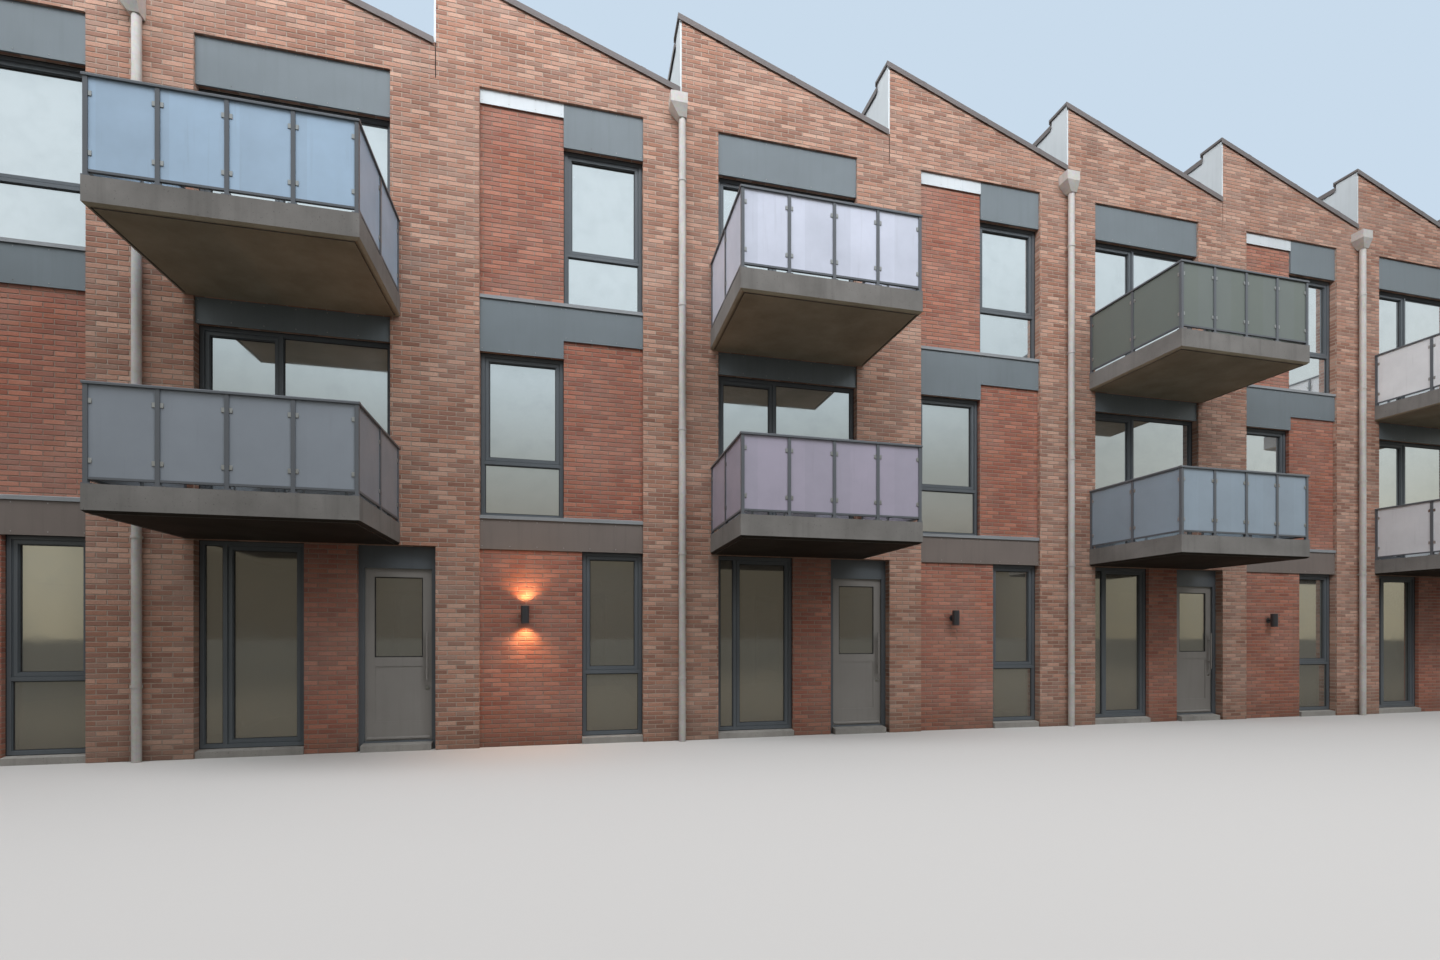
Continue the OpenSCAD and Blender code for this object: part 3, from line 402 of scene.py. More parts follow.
def coated_metal(name, tone, roughness, dirt=0.25, metallic=0.0):
    """Powder-coated metal: an orange-peel sheen, dust and thin rain streaks."""
    tree = Tree(name)
    cloud = tree.noise(1.3, 4.0, 0.55)
    colour = tree.mix(tree.curve(cloud, 0.3, 0.7), tone, toned(tone, 1.16))
    streaks = tree.noise(1.0, 4.0, 0.6, tree.scaled(14.0, 14.0, 0.8))
    colour = tree.mix(tree.curve(streaks, 0.5, 0.8, 0.0, dirt), colour, toned(tone, 0.7))
    peel = tree.noise(420.0, 1.0)
    sheen = tree.curve(cloud, 0.3, 0.7, roughness - 0.06, roughness + 0.08)
    return tree.finish(colour, sheen, tree.bump(peel, 0.12, 0.0006), Metallic=metallic)


def zinc_material():
    """Weathered zinc with a faint spangle and thin runs."""
    tree = Tree("zinc")
    cloud = tree.noise(2.4, 5.0, 0.62)
    spangle = tree.add("ShaderNodeTexVoronoi")
    tree.join(tree.position(), spangle.inputs["Vector"])
    spangle.inputs["Scale"].default_value = 34.0
    grey = tree.mix(tree.curve(cloud, 0.3, 0.7), srgb(186, 182, 176), srgb(208, 205, 200))
    colour = tree.mix(0.12, grey, spangle.outputs["Color"], "SOFT_LIGHT")
    runs = tree.noise(1.0, 4.0, 0.6, tree.scaled(18.0, 18.0, 0.6))
    colour = tree.mix(tree.curve(runs, 0.55, 0.8, 0.0, 0.3), colour, srgb(136, 134, 130))
    sheen = tree.curve(cloud, 0.3, 0.7, 0.42, 0.6)
    return tree.finish(colour, sheen, tree.bump(cloud, 0.15, 0.002), Metallic=0.2)


def roofing_material():
    """Bitumen sheet with mineral grains, laid in strips across the fall."""
    tree = Tree("roofing")
    y = tree.split(tree.position())[1]
    grain = tree.noise(320.0, 2.0, 0.7)
    cloud = tree.noise(0.9, 4.0, 0.6)
    lap = tree.math("PINGPONG", tree.math("ADD", y, 0.2), 0.5)
    seam = tree.curve(lap, 0.004, 0.012, 1.0, 0.0)
    colour = tree.mix(tree.curve(cloud, 0.3, 0.7), srgb(78, 79, 81), srgb(104, 105, 106))
    colour = tree.mix(tree.curve(grain, 0.35, 0.7, 0.0, 0.5), colour, srgb(136, 136, 136))
    colour = tree.mix(seam, colour, srgb(44, 44, 46))
    relief = tree.math("SUBTRACT", tree.math("MULTIPLY", grain, 0.3), seam)
    return tree.finish(colour, 0.88, tree.bump(relief, 0.5, 0.003))


def glass_material(name, tint, alpha):
    """Coated glass: it mirrors what lies opposite and lets part of the light through."""
    tree = Tree(name)
    x, _, z = tree.split(tree.position())
    # Every pane leans a little, so that the reflections differ from pane to pane
    pane = tree.random_at(tree.join_xyz(tree.math("FLOOR", tree.math("MULTIPLY", x, 1.1)),
                                        tree.math("FLOOR", tree.math("MULTIPLY", z, 0.7)), 1.0))
    ripple = tree.math("ADD", tree.noise(0.55, 1.0), tree.math("MULTIPLY", pane, tree.noise(0.2, 0.0)))
    film = tree.noise(3.0, 4.0, 0.6)
    colour = tree.mix(tree.curve(film, 0.45, 0.75, 0.0, 0.2), tint, srgb(196, 204, 208))
    tree.material.surface_render_method = "BLENDED"
    return tree.finish(colour, tree.curve(film, 0.4, 0.7, 0.02, 0.07), tree.bump(ripple, 0.05, 0.01),
                       Metallic=0.9, Alpha=alpha)


# The screens of each house's balconies, from the left, on the first and on the second floor
LOWER_SCREENS = [srgb(164, 176, 188), srgb(144, 152, 160), srgb(176, 170, 186), srgb(152, 168, 180),
                 srgb(236, 238, 240)]
UPPER_SCREENS = [srgb(176, 194, 208), srgb(172, 198, 220), srgb(216, 222, 236), srgb(112, 120, 113),
                 srgb(242, 244, 244)]


def screen_material():
    """Frosted balustrade screens, in a tone of its own for each house and floor."""
    tree = Tree("balcony_glass")
    x, _, z = tree.split(tree.position())
    place = tree.math("DIVIDE", tree.math("SUBTRACT", x, ROW_LEFT), ROW_RIGHT - ROW_LEFT)
    lower = tree.ramp(place, [(i / HOUSES, tone) for i, tone in enumerate(LOWER_SCREENS)], "CONSTANT")
    upper = tree.ramp(place, [(i / HOUSES, tone) for i, tone in enumerate(UPPER_SCREENS)], "CONSTANT")
    colour = tree.mix(tree.math("GREATER_THAN", z, SECOND_LOW.z), lower, upper)
    # Neighbouring panels differ a little
    panel = tree.math("FLOOR", tree.math("DIVIDE", tree.math("SUBTRACT", x, ROW_LEFT + BALCONY_X),
                                         BALCONY_W / FRONT_PANELS))
    other = tree.math("FRACT", tree.math("MULTIPLY", panel, 0.5))
    colour = tree.mix(tree.math("MULTIPLY", other, 0.22), colour, toned(LOWER_SCREENS[1], 0.8))
    cloud = tree.noise(2.0, 4.0, 0.6)
    colour = tree.mix(tree.curve(cloud, 0.35, 0.7, 0.0, 0.14), colour, srgb(96, 102, 106))
    runs = tree.noise(1.0, 3.0, 0.6, tree.scaled(20.0, 20.0, 1.0))
    colour = tree.mix(tree.curve(runs, 0.6, 0.85, 0.0, 0.18), colour, srgb(104, 106, 104))
    normal = tree.bump(tree.noise(260.0, 1.0), 0.08, 0.0008)
    return tree.finish(colour, tree.curve(cloud, 0.3, 0.7, 0.28, 0.42), normal, Alpha=0.94)


def rubber_material():
    tree = Tree("rubber")
    dust = tree.noise(30.0, 3.0, 0.6)
    colour = tree.mix(tree.curve(dust, 0.35, 0.75, 0.0, 0.6), srgb(34, 34, 35), srgb(72, 70, 68))
    return tree.finish(colour, 0.74, tree.bump(dust, 0.2, 0.0006))


def lens_material(name, tone, strength):
    """Frosted glass that glows by a strength, or not at all."""
    tree = Tree(name)
    soft = tree.noise(40.0, 1.0)
    colour = tree.mix(soft, tone, toned(tone, 0.86))
    tree.finish(colour, 0.4, tree.bump(tree.noise(500.0, 1.0), 0.1, 0.0005))
    tree.join(colour, tree.shader.inputs["Emission Color"])
    tree.shader.inputs["Emission Strength"].default_value = strength
    return tree.material


MATERIALS = {
    "brick": facing_brick(),
    "red_brick": panel_brick(),
    "concrete": concrete_material(),
    "balcony_concrete": balcony_concrete(),
    "plaster": plaster_material(),
    "grey_metal": coated_metal("grey_metal", srgb(108, 117, 121), 0.42),
    "band_metal": coated_metal("band_metal", srgb(116, 107, 101), 0.45, 0.4),
    "frame_paint": coated_metal("frame_paint", srgb(88, 94, 98), 0.36),
    "window_glass": glass_material("window_glass", srgb(240, 246, 248), 0.92),
    # The same window glass, made darker and more see-through as painted shade for the ground floor
    "shaded_ground_floor_glass": glass_material("shaded_ground_floor_glass", srgb(222, 222, 214), 0.76),
    "rail_paint": coated_metal("rail_paint", srgb(92, 96, 100), 0.36),
    "balcony_glass": screen_material(),
    "roofing": roofing_material(),
    "zinc": zinc_material(),
    "coping_metal": coated_metal("coping_metal", srgb(104, 98, 96), 0.4),
    "pale_metal": coated_metal("pale_metal", srgb(196, 203, 205), 0.42),
    "sill_metal": coated_metal("sill_metal", srgb(136, 140, 142), 0.42),
    "steel": coated_metal("steel", srgb(176, 176, 174), 0.3, metallic=0.9),
    "lamp_metal": coated_metal("lamp_metal", srgb(58, 58, 60), 0.34),
    "door_paint": coated_metal("door_paint", srgb(134, 131, 126), 0.38),
    "rubber": rubber_material(),
    "lens_lit": lens_material("lens_lit", srgb(255, 176, 112), 9.0),
    "lens": lens_material("lens", srgb(206, 202, 192), 0.0),
}
# Nodes whose surface differs from others of their slot
NODE_MATERIALS = {
    "slab_edge_bands": "band_metal",
    "balcony_slabs_first": "balcony_concrete",
    "balcony_slabs_second": "balcony_concrete",
    # The ground-floor glass and the glass of the front doors take the copy with painted shade
    "front_glass_ground": "shaded_ground_floor_glass",
}
NODE_MATERIALS.update({f"front_door_glass_{number + 1}": "shaded_ground_floor_glass" for number in range(HOUSES)})

for subpart in frame["record"]["subparts"]:
    node = subpart["node"]
    mesh = NODES[node].data
    mesh.materials.clear()
    mesh.materials.append(MATERIALS[NODE_MATERIALS.get(node, subpart["material_slot"])])


# Small pieces


class Piece:
    """Gathers the faces of one piece, in metres in the row's frame, and then makes it."""

    def __init__(self, name, material, body=ROW, slot=None):
        self.name = name
        self.material = material
        self.body = body
        self.slot = slot
        self.points = []
        self.faces = []

    def add(self, points, faces):
        start = len(self.points)
        self.points += points
        self.faces += [tuple(start + index for index in face) for face in faces]

    def prism(self, outline, from_y, to_y):
        """An outline of x and z values, counter-clockwise from the street, carried from one y to another."""
        count = len(outline)
        points = [(x, from_y, z) for x, z in outline] + [(x, to_y, z) for x, z in outline]
        faces = [tuple(range(count)), tuple(reversed(range(count, 2 * count)))]
        faces += [(i, i + count, (i + 1) % count + count, (i + 1) % count) for i in range(count)]
        self.add(points, faces)

    def box(self, low, high):
        outline = [(low[0], low[2]), (high[0], low[2]), (high[0], high[2]), (low[0], high[2])]
        self.prism(outline, low[1], high[1])

    def ring(self, left, low, right, high, width, from_y, to_y):
        """A rectangular ring seen from the street, mitred at its corners."""
        outer = [(left, low), (right, low), (right, high), (left, high)]
        inner = [(left + width, low + width), (right - width, low + width), (right - width, high - width),
                 (left + width, high - width)]
        for i in range(4):
            j = (i + 1) % 4
            self.prism([outer[i], outer[j], inner[j], inner[i]], from_y, to_y)

    def turned(self, place, axis, profile, sides):
        """A profile of radius and height, turned about an axis through a place."""
        along = Vector(axis).normalized()
        across = along.orthogonal().normalized()
        beside = along.cross(across)
        points, faces = [], []
        for radius, height in profile:
            for k in range(sides):
                angle = 2 * math.pi * k / sides
                offset = across * (radius * math.cos(angle)) + beside * (radius * math.sin(angle))
                points.append(tuple(Vector(place) + offset + along * height))
        for i in range(len(profile) - 1):
            for k in range(sides):
                n = (k + 1) % sides
                faces.append((i * sides + k, i * sides + n, (i + 1) * sides + n, (i + 1) * sides + k))
        faces.append(tuple(reversed(range(sides))))
        faces.append(tuple(range((len(profile) - 1) * sides, len(profile) * sides)))
        self.add(points, faces)

    def make(self, bevel=0.001):
        mesh = bpy.data.meshes.new(self.name)
        mesh.from_pydata(self.points, [], self.faces)
        mesh.materials.append(MATERIALS[self.material])
        mesh.polygons.foreach_set("use_smooth", [True] * len(mesh.polygons))
        mesh.set_sharp_from_angle(angle=math.radians(35))
        piece = bpy.data.objects.new(self.name, mesh)
        bpy.context.scene.collection.objects.link(piece)
        if bevel:
            edges = piece.modifiers.new("edges", "BEVEL")
            edges.width = bevel
            edges.segments = 1
            edges.limit_method = "ANGLE"
        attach(piece, self.body)
        return piece


# Each window as its left edge in the house, foot, width, height, transom heights, mullion distances and the
# numbers of the lights that open
STREET_WINDOWS = [
    (ZONE_LEFT, FLOORS[0], DOORSIDE_WINDOW, GROUND_TOP - FLOORS[0], [], [0.28], [1]),
    (BAY_W + ZONE_RIGHT - HALL_WINDOW, FLOORS[0], HALL_WINDOW, GROUND_TOP - FLOORS[0], [0.9], [], [1]),
    (ZONE_LEFT, FLOORS[1], WIDE_WINDOW, FIRST_HEAD - FLOORS[1], [], [WIDE_MULLION], [0]),
    (BAY_W + ZONE_LEFT, FLOORS[1] + LOW_SILL, NARROW_WINDOW, FIRST_HEAD - FLOORS[1] - LOW_SILL,
     [NARROW_TRANSOM], [], [1]),
    (ZONE_LEFT, FLOORS[2], WIDE_WINDOW, SECOND_HEAD - FLOORS[2], [], [WIDE_MULLION], [0]),
    (BAY_W + ZONE_MID, SECOND_FOOT, NARROW_WINDOW, SECOND_HEAD - SECOND_FOOT, [NARROW_TRANSOM], [], [1]),
]
GARDEN_WINDOWS = [
    (left, foot, WIDE_WINDOW, head - foot, [], [WIDE_MULLION], [0])
    for left in (ZONE_LEFT, BAY_W + ZONE_LEFT)
    for foot, head in ((FLOORS[0], GROUND_TOP), (FLOORS[1] + HIGH_SILL, FIRST_HEAD),
                       (FLOORS[2] + HIGH_SILL, SECOND_HEAD))
]


def lights(window):
    """The lights of a window, each as left, low, right, high and whether it opens."""
    left, foot, width, height, transoms, mullions, opening = window
    half = FRAME_W / 2
    xs = [half] + mullions + [width - half]
    zs = [half] + transoms + [height - half]
    found = []
    for i in range(len(xs) - 1):
        for j in range(len(zs) - 1):
            opens = len(found) in opening
            found.append((left + xs[i] + half, foot + zs[j] + half, left + xs[i + 1] - half,
                          foot + zs[j + 1] - half, opens))
    return found


def window_trims():
    """Rubber round every pane, sealant round every frame and a handle on every sash."""
    gaskets = Piece("window_gaskets", "rubber")
    sealant = Piece("frame_sealant", "rubber")
    handles = Piece("window_handles", "steel", slot="steel")
    gasket_w = 0.007
    sealant_w = 0.008
    sash_pane, fixed_pane = 0.052, 0.026
    handle_in = 0.028
    for house in range(HOUSES):
        x0 = house_left(house)
        for side, face, windows in ((1, FRONT_Y, STREET_WINDOWS), (-1, REAR_Y, GARDEN_WINDOWS)):
            place = face + side * FRAME_Y
            inner = place + side * SASH_FACE
            for window in windows:
                left, foot, width, height = window[:4]
                ys = sorted((place - side * sealant_w / 2, place + side * sealant_w / 2))
                sealant.ring(x0 + left, foot, x0 + left + width, foot + height, sealant_w, *ys)
                for left, low, right, high, opens in lights(window):
                    edge = SASH_EDGE if opens else 0.0
                    depth = sash_pane if opens else fixed_pane
                    ys = sorted((place + side * (depth - gasket_w), place + side * depth))
                    gaskets.ring(x0 + left + edge, low + edge, x0 + right - edge, high - edge, gasket_w, *ys)
                    if opens:
                        add_handle(handles, x0 + right - handle_in, (low + high) / 2, inner, side)
    gaskets.make(0.0)
    sealant.make(0.0)
    handles.make()


def add_handle(piece, x, z, y, side):
    """A lever on a plate, on the inner face of a sash."""
    plate_w, plate_h, plate_t = 0.028, 0.07, 0.008
    spindle = [(0.009, 0.0), (0.009, 0.04), (0.007, 0.044)]
    lever_w, lever_drop, lever_rise = 0.02, 0.12, 0.008
    lever_back, lever_front = 0.03, 0.042
    ys = sorted((y, y + side * plate_t))
    piece.box((x - plate_w / 2, ys[0], z - plate_h / 2), (x + plate_w / 2, ys[1], z + plate_h / 2))
    piece.turned((x, y, z), (0, side, 0), spindle, 10)
    ys = sorted((y + side * lever_back, y + side * lever_front))
    piece.box((x - lever_w / 2, ys[0], z - lever_drop), (x + lever_w / 2, ys[1], z + lever_rise))


SCREW = [(0.0062, 0.0), (0.0056, 0.0022), (0.003, 0.0034)]


def metal_screws():
    """Round screw heads along the edges of the metal head panels and bands."""
    screws = Piece("panel_screws", "steel", slot="steel")
    sill_t = 0.034
    trim_h = 0.18
    panel_drop = 0.25
    panels = [
        (ZONE_LEFT, FIRST_HEAD, ZONE_RIGHT, SECOND_LOW.z), (ZONE_LEFT, SECOND_HEAD, ZONE_RIGHT, GABLE_FOOT),
        (BAY_W + ZONE_LEFT, FIRST_HEAD, BAY_W + ZONE_MID, SECOND_FOOT - sill_t),
        (BAY_W + ZONE_MID, FIRST_HEAD + panel_drop, BAY_W + ZONE_RIGHT, SECOND_FOOT - sill_t),
        (BAY_W + ZONE_MID, SECOND_HEAD, BAY_W + ZONE_RIGHT, GABLE_FOOT),
        (BAY_W + ZONE_LEFT, GROUND_TOP, BAY_W + ZONE_RIGHT, FLOORS[1] + LOW_SILL - sill_t),
        (BAY_W + ZONE_LEFT, GABLE_FOOT - trim_h, BAY_W + ZONE_MID, GABLE_FOOT)]
    edge = 0.03
    spacing = 0.36
    for house in range(HOUSES):
        for left, low, right, high in panels:
            count = max(2, round((right - left) / spacing) + 1)
            for k in range(count):
                x = house_left(house) + left + edge + k * (right - left - 2 * edge) / (count - 1)
                for z in (low + edge, high - edge):
                    screws.turned((x, FRONT_Y + HEAD_Y, z), (0, -1, 0), SCREW, 8)
    screws.make(0.0)


def balcony_fixings():
    """Clamps that hold the screens to the posts, and bolts in the foot plates."""
    clamps = Piece("screen_clamps", "steel", slot="steel")
    bolts = Piece("plate_bolts", "steel", slot="steel")
    hexagon = [(0.013, 0.0), (0.013, 0.002), (0.0092, 0.002), (0.0092, 0.008), (0.007, 0.0095)]
    front_step = (BALCONY_W - 2 * POST_IN - POST_W) / FRONT_PANELS
    side_step = (BALCONY_D - POST_IN - POST_W) / SIDE_PANELS
    plate_t = 0.01
    half = 0.014
    half_h = 0.025
    grip = 0.03
    from_end = 0.16
    bolt_out, bolt_in = 0.031, 0.0125
    side_bolt_in, side_bolt_back = 0.0325, 0.011
    for house in range(HOUSES):
        x0 = house_left(house) + BALCONY_X
        y0 = FRONT_Y - BALCONY_D
        for floor in FLOORS[1:]:
            heights = (floor + PANEL_LOW + from_end, floor + PANEL_HIGH - from_end)
            top = floor + plate_t
            line = y0 + PANEL_IN
            bolt_y = y0 + POST_IN + POST_W + bolt_in
            for i in range(FRONT_PANELS + 1):
                post = x0 + POST_IN + i * front_step
                for z in heights:
                    low, high = z - half_h, z + half_h
                    if i > 0:
                        clamps.box((post - grip, line - half, low), (post, line + half, high))
                    if i < FRONT_PANELS:
                        clamps.box((post + POST_W, line - half, low),
                                   (post + POST_W + grip, line + half, high))
                for dx in (-bolt_out, bolt_out):
                    x = post + POST_W / 2 + dx
                    if x0 + half < x < x0 + BALCONY_W - half:
                        bolts.turned((x, bolt_y, top), (0, 0, 1), hexagon, 6)
            for side, inward in ((PANEL_IN, 1), (BALCONY_W - PANEL_IN, -1)):
                line = x0 + side
                for i in range(SIDE_PANELS + 1):
                    post = y0 + POST_IN + i * side_step
                    for z in heights:
                        low, high = z - half_h, z + half_h
                        if i > 0:
                            clamps.box((line - half, post - grip, low), (line + half, post, high))
                        if i < SIDE_PANELS:
                            clamps.box((line - half, post + POST_W, low),
                                       (line + half, post + POST_W + grip, high))
                    if i > 0:
                        place = (line + inward * side_bolt_in, post - side_bolt_back, top)
                        bolts.turned(place, (0, 0, 1), hexagon, 6)
    clamps.make(0.002)
    bolts.make(0.0)


def coping_covers():
    """Covers over the joints of the copings and caps."""
    covers = Piece("coping_covers", "coping_metal", slot="coping_metal")
    sheet = 0.002
    half = 0.035
    lip_h = 0.085
    coping_joints = (0.6, 1.7, 2.75)
    cap_joints = (-3.2, -1.6, 0.0, 1.6, 3.2)
    cap_z = PEAK_Z - 0.11
    cap_left, cap_right = -0.052, 0.152
    cap = [(x, cap_z - SLOPE * x) for x in (cap_left, cap_right)]

    def band(x0, line, below, above):
        """A sloping line of two points, thickened below and above."""
        return [(x0 + x, z - below) for x, z in line] + [(x0 + x, z + above) for x, z in reversed(line)]

    for bay in range(BAYS):
        x0 = bay_left(bay)
        for dx in coping_joints:
            line = [(x, brick_top(x) + COPING_T) for x in (dx - half, dx + half)]
            top = band(x0, line, 0, sheet)
            covers.prism(top, FRONT_Y - COPING_LIP - sheet, FRONT_Y + WALL_T + COPING_LIP)
            covers.prism(band(x0, line, lip_h, 0), FRONT_Y - COPING_LIP - sheet, FRONT_Y - COPING_LIP)
            covers.prism(top, REAR_Y - WALL_T - COPING_LIP, REAR_Y + COPING_LIP)
        if bay:
            for y in cap_joints:
                covers.prism(band(x0, cap, 0, sheet), y - half, y + half)
    covers.make(0.0)


def gable_joints():
    """Sealant in the movement joints between the gables."""
    seals = Piece("gable_sealant", "rubber")
    half = GABLE_GAP / 2
    recess, depth = 0.01, 0.01
    top = brick_top(BAY_W - half)
    for bay in range(1, BAYS):
        x = bay_left(bay)
        for low in (FRONT_Y + recess, REAR_Y - recess - depth):
            seals.box((x - half, low, GABLE_FOOT), (x + half, low + depth, top))
    seals.make(0.0)


def outlet_guards():
    """Upright bars that keep leaves out of the gutter outlets."""
    guards = Piece("outlet_guards", "steel", slot="steel")
    hopper_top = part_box("rain_hoppers")[1].z
    wall = FRONT_Y + WALL_T
    bars, spacing, first_bar, bar_y = 6, 0.016, -0.04, 0.006
    rod = [(0.003, 0.0), (0.003, 0.1)]
    strap_w, strap_ys, strap_zs = 0.1, (0.001, 0.011), (0.098, 0.104)
    outlet_in, outlet_down = 0.11, 0.116
    for house in range(HOUSES):
        last = house == HOUSES - 1
        x = house_left(house + 1) - (WALL_T if last else 0.0) - outlet_in
        low = hopper_top - (0.0 if last else SLOPE * WALL_T) - outlet_down
        for k in range(bars):
            guards.turned((x + first_bar + spacing * k, wall + bar_y, low), (0, 0, 1), rod, 8)
        guards.box((x - strap_w / 2, wall + strap_ys[0], low + strap_zs[0]),
                   (x + strap_w / 2, wall + strap_ys[1], low + strap_zs[1]))
    guards.make(0.0)


def door_trims():
    """Rubber seals, and a lock plate with its cylinder on every leaf."""
    seals = Piece("door_seals", "rubber")
    stop_y = FRONT_Y + 0.161
    seal_w, seal_t = 0.006, 0.0025
    seal_low, seal_high = 0.02, 2.29
    left_seal, right_seal = 0.001, LEAF_W - 0.003
    pane_in, pane_low, pane_high = 0.122, 1.112, 2.178
    pane_front, pane_back = 0.007, 0.013
    gasket_w = 0.013
    lock_in, lock_z = 0.065, 0.7
    y = FRONT_Y + LEAF_Y
    cylinder = [
        (0.027, 0.0), (0.027, 0.005), (0.024, 0.008), (0.012, 0.008), (0.0105, 0.012), (0.009, 0.0135)]
    for house in range(HOUSES):
        x0 = house_left(house) + LEAF_X
        for x in (x0 + left_seal, x0 + right_seal):
            seals.box((x, stop_y, LEAF_Z + seal_low), (x + seal_w, stop_y + seal_t, LEAF_Z + seal_high))
        body = f"door_{house + 1}"
        rubber = Piece(f"door_gaskets_{house + 1}", "rubber", body)
        rubber.ring(x0 + pane_in, LEAF_Z + pane_low, x0 + LEAF_W - pane_in, LEAF_Z + pane_high, gasket_w,
                    y + pane_front, y + pane_back)
        rubber.make(0.0)
        lock = Piece(f"door_lock_{house + 1}", "steel", body, "steel")
        lock.turned((x0 + LEAF_W - lock_in, y, LEAF_Z + lock_z), (0, -1, 0), cylinder, 20)
        lock.make(0.0)
    seals.make(0.0)


def lamp_lenses():
    """A frosted disc in both ends of every wall lamp."""
    disc = [(0.0385, 0.0), (0.0385, 0.006), (0.034, 0.009), (0.02, 0.011)]
    lens_z = 0.1
    for house in range(HOUSES):
        lens = Piece(f"lamp_lenses_{house + 1}", "lens_lit" if house == LIT_HOUSE else "lens")
        for end in (-1, 1):
            place = (house_left(house) + LAMP_X, FRONT_Y + LAMP_Y, LAMP_Z + end * lens_z)
            lens.turned(place, (0, 0, end), disc, 24)
        lens.make(0.0)


# Raised bricks, in the same bond as the brick material

BRICK_RELIEF = 0.004
BRICK_CHAMFER = 0.0015
BRICK_SEAT = 0.001
BRICK_LEAST = 0.012
STREET_BRICK = ("front_ground_walls", "front_upper_piers", "front_lintels", "front_gables")
GARDEN_BRICK = ("rear_piers", "rear_lintels", "rear_gables")
END_BRICK = ("end_walls",) + STREET_BRICK + GARDEN_BRICK


def clipped(outline, axis, limit, side):
    """The part of a flat outline that lies on one side of a line across an axis."""
    kept = []
    for i, point in enumerate(outline):
        before = outline[i - 1]
        inside = side * (point[axis] - limit) >= 0
        if inside != (side * (before[axis] - limit) >= 0):
            share = (limit - before[axis]) / (point[axis] - before[axis])
            kept.append(tuple(a + share * (b - a) for a, b in zip(before, point)))
        if inside:
            kept.append(point)
    return kept


def wall_outlines(node, axis, place, outward):
    """A node's faces in one plane that look outward, as places along the wall and heights."""
    same_place = 0.0001
    same_plane = math.radians(0.5)
    near = 0.002
    form = bmesh.new()
    form.from_mesh(NODES[node].data)
    form.transform(NODES[node].matrix_world)
    bmesh.ops.remove_doubles(form, verts=form.verts, dist=same_place)
    bmesh.ops.dissolve_limit(form, angle_limit=same_plane, verts=form.verts, edges=form.edges)
    outlines = [
        [(loop.vert.co[1 - axis], loop.vert.co.z) for loop in face.loops]
        for face in form.faces
        if face.normal[axis] * outward > 0.99 and abs(face.calc_center_median()[axis] - place) < near]
    form.free()
    return outlines


def add_brick(piece, shape, axis, place, outward):
    """A brick with chamfered edges, seated a little in its wall. Slivers beside an opening are left out."""
    sizes = [max(p[k] for p in shape) - min(p[k] for p in shape) for k in (0, 1)]
    if min(sizes) < BRICK_LEAST:
        return
    middle = [(max(p[k] for p in shape) + min(p[k] for p in shape)) / 2 for k in (0, 1)]
    shares = [1 - 2 * BRICK_CHAMFER / size for size in sizes]
    face = [tuple(middle[k] + (p[k] - middle[k]) * shares[k] for k in (0, 1)) for p in shape]
    points = []
    for outline, depth in ((shape, -BRICK_SEAT), (face, BRICK_RELIEF)):
        across = place + outward * depth
        points += [(across, u, v) if axis == 0 else (u, across, v) for u, v in outline]
    count = len(shape)
    faces = [tuple(range(count, 2 * count)), tuple(reversed(range(count)))]
    faces += [(i, (i + 1) % count, (i + 1) % count + count, i + count) for i in range(count)]
    piece.add(points, faces)


def lay_bricks(piece, node, axis, place, outward):
    """Stretcher bond over the outer faces of one node."""
    half = JOINT / 2
    for outline in wall_outlines(node, axis, place, outward):
        low_u, high_u = min(p[0] for p in outline), max(p[0] for p in outline)
        low_v, high_v = min(p[1] for p in outline), max(p[1] for p in outline)
        for row in range(math.floor(low_v / COURSE), math.ceil(high_v / COURSE)):
            course = clipped(clipped(outline, 1, row * COURSE + half, 1), 1, (row + 1) * COURSE - half, -1)
            if len(course) < 3:
                continue
            stagger = 0.5 * (row % 2)
            for column in range(math.floor(low_u / STRETCH + stagger), math.ceil(high_u / STRETCH + stagger)):
                left = (column - stagger) * STRETCH
                shape = clipped(clipped(course, 0, left + half, 1), 0, left + STRETCH - half, -1)
                if len(shape) > 2:
                    add_brick(piece, shape, axis, place, outward)


def brickwork():
    """The raised bricks of the street side, the garden side and both ends."""
    for name, material, nodes, axis, side in (
            ("street_bricks", "brick", STREET_BRICK, 1, 0), ("garden_bricks", "brick", GARDEN_BRICK, 1, 1),
            ("left_end_bricks", "brick", END_BRICK, 0, 0), ("right_end_bricks", "brick", END_BRICK, 0, 1),
            ("street_panel_bricks", "red_brick", ("front_ground_infill", "recessed_brick_panels"), 1, 0),
            ("garden_panel_bricks", "red_brick", ("rear_spandrels",), 1, 1)):
        piece = Piece(name, material, slot=material)
        for node in nodes:
            place = (ROW_LEFT, ROW_RIGHT)[side] if axis == 0 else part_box(node)[side].y
            lay_bricks(piece, node, axis, place, (-1, 1)[side])
        piece.make(0.0)


brickwork()
window_trims()
metal_screws()
balcony_fixings()
coping_covers()
gable_joints()
outlet_guards()
door_trims()
lamp_lenses()


# Stage, light and camera


def make_stage():
    """A wide pale floor under the row. It sheds little light on the walls."""
    mesh = bpy.data.meshes.new("floor")
    reach = 400.0
    corners = [(-reach, -reach, 0), (reach, -reach, 0), (reach, reach, 0), (-reach, reach, 0)]
    mesh.from_pydata(corners, [], [(0, 1, 2, 3)])
    floor = bpy.data.objects.new("floor", mesh)
    bpy.context.scene.collection.objects.link(floor)
    tree = Tree("floor")
    path = tree.add("ShaderNodeLightPath")
    seen = tree.mix(path.outputs["Is Glossy Ray"], srgb(206, 205, 201), srgb(92, 84, 70))
    tree.finish(tree.mix(path.outputs["Is Diffuse Ray"], seen, srgb(116, 112, 104)), 0.9)
    mesh.materials.append(tree.material)


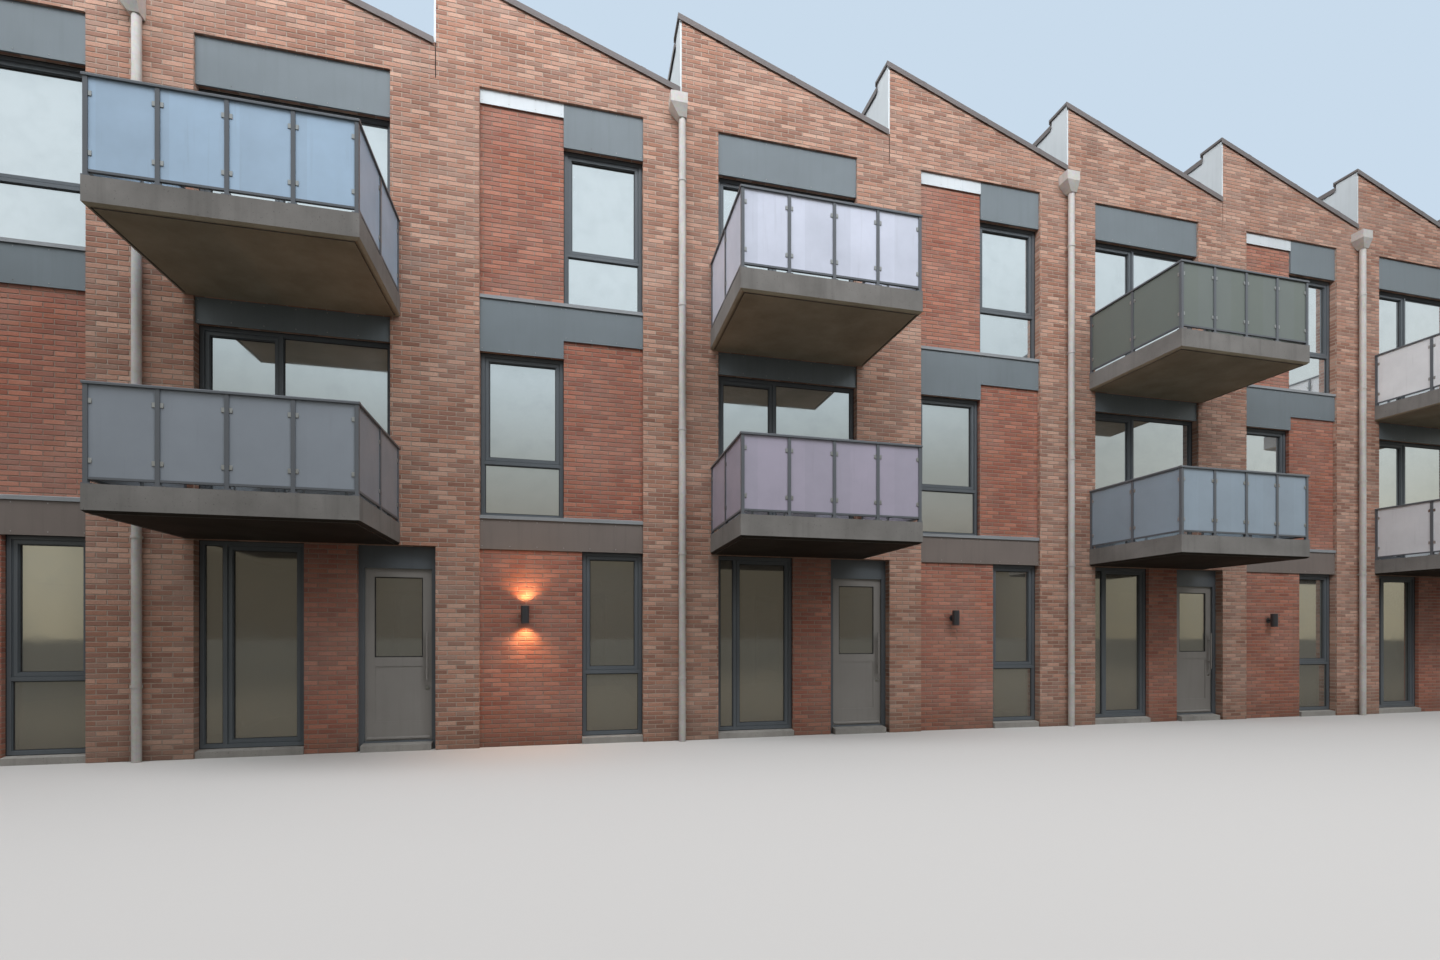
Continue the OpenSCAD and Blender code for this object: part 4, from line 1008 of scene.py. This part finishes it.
def opposite(tree):
    """A plain gradient that glossy surfaces mirror: darker straight ahead, paler to both sides."""
    x, _, z = tree.split(tree.add("ShaderNodeTexCoord").outputs["Generated"])
    height = tree.curve(z, -0.2, 0.8)
    across = tree.ramp(height, [
        (0.0, srgb(70, 62, 52)), (0.3, srgb(84, 78, 68)), (0.36, srgb(134, 128, 116)),
        (0.44, srgb(152, 154, 148)), (0.56, srgb(196, 206, 210)), (0.68, srgb(220, 230, 235)),
        (1.0, srgb(226, 236, 242))])
    along = tree.ramp(height, [
        (0.0, srgb(132, 124, 106)), (0.2, srgb(168, 160, 140)), (0.32, srgb(188, 184, 168)),
        (0.4, srgb(206, 210, 206)), (0.6, srgb(226, 234, 238)), (1.0, srgb(228, 238, 244))])
    right = tree.curve(x, 0.6, 0.85)
    left = tree.curve(x, -0.44, -0.54)
    return tree.mix(tree.math("MAXIMUM", left, right), across, along)


def make_world():
    world = bpy.data.worlds.new("studio")
    bpy.context.scene.world = world
    tree = Tree("studio", world)
    light = tree.nodes["Background"]
    light.inputs[0].default_value = (0.98, 0.98, 1.0, 1.0)
    light.inputs[1].default_value = 0.53
    path = tree.add("ShaderNodeLightPath")
    backdrop = tree.mix(path.outputs["Is Camera Ray"], opposite(tree), srgb(201, 219, 236))
    seen = tree.add("ShaderNodeBackground")
    tree.join(backdrop, seen.inputs[0])
    mirrored = tree.math("MAXIMUM", path.outputs["Is Glossy Ray"], path.outputs["Is Transmission Ray"])
    pick = tree.add("ShaderNodeMixShader")
    tree.join(tree.math("MAXIMUM", path.outputs["Is Camera Ray"], mirrored), pick.inputs[0])
    tree.join(light.outputs[0], pick.inputs[1])
    tree.join(seen.outputs[0], pick.inputs[2])
    tree.join(pick.outputs[0], tree.nodes["World Output"].inputs[0])


def make_softbox(name, place, target, long_side, short_side, energy, colour):
    """A long soft light that shows neither in the picture nor in a reflection."""
    data = bpy.data.lights.new(name, "AREA")
    data.shape = "RECTANGLE"
    data.size = long_side
    data.size_y = short_side
    data.energy = energy
    data.color = colour
    lamp = bpy.data.objects.new(name, data)
    lamp.location = place
    aim = (Vector(target) - Vector(place)).normalized()
    lamp.rotation_euler = aim.to_track_quat("-Z", "Y").to_euler()
    lamp.visible_camera = False
    lamp.visible_glossy = False
    bpy.context.scene.collection.objects.link(lamp)


def make_lamp_glow():
    """The warm light of the one wall lamp that is lit."""
    for end in (-1, 1):
        data = bpy.data.lights.new("glow", "SPOT")
        data.energy = 26.0
        data.color = (1.0, 0.5, 0.22)
        data.spot_size = math.radians(130)
        data.spot_blend = 1.0
        data.shadow_soft_size = 0.03
        lamp = bpy.data.objects.new("glow", data)
        lamp.location = (house_left(LIT_HOUSE) + LAMP_X, FRONT_Y + LAMP_Y, LAMP_Z + end * 0.13)
        lamp.rotation_euler = (0.0 if end < 0 else math.pi, 0, 0)
        lamp.visible_glossy = False
        bpy.context.scene.collection.objects.link(lamp)


def make_camera():
    """The photograph's place: before the second house, at eye height, turned a little to the right."""
    data = bpy.data.cameras.new("photo")
    data.sensor_width = 36.0
    data.lens = 15.97
    data.shift_y = 0.1088
    data.clip_end = 2000
    camera = bpy.data.objects.new("photo", data)
    right_of_bay, before_row, eye_height = 1.699, 9.104, 1.5
    camera.location = (house_left(LIT_HOUSE) + BAY_W + right_of_bay, FRONT_Y - before_row, eye_height)
    camera.rotation_euler = (math.radians(90), 0, math.radians(-13.44))
    bpy.context.scene.collection.objects.link(camera)
    bpy.context.scene.camera = camera


make_stage()
make_world()
middle = (ROW_LEFT + ROW_RIGHT) / 2
depth = (FRONT_Y + REAR_Y) / 2
make_softbox("key", place=(middle - 5, FRONT_Y - 7, 15), target=(middle - 2, FRONT_Y, 8.5),
             long_side=44, short_side=5, energy=4200, colour=(0.94, 0.95, 1.0))
make_softbox("back", place=(middle, REAR_Y + 10, 11), target=(middle, REAR_Y, 4.5),
             long_side=44, short_side=6, energy=2200, colour=(0.97, 0.98, 1.0))
for end, outward in ((ROW_LEFT, -1), (ROW_RIGHT, 1)):
    make_softbox("end", place=(end + outward * 9, depth, 8), target=(end, depth, 5),
                 long_side=10, short_side=6, energy=330, colour=(0.97, 0.98, 1.0))
make_lamp_glow()
make_camera()
bpy.context.scene.view_settings.view_transform = "Standard"
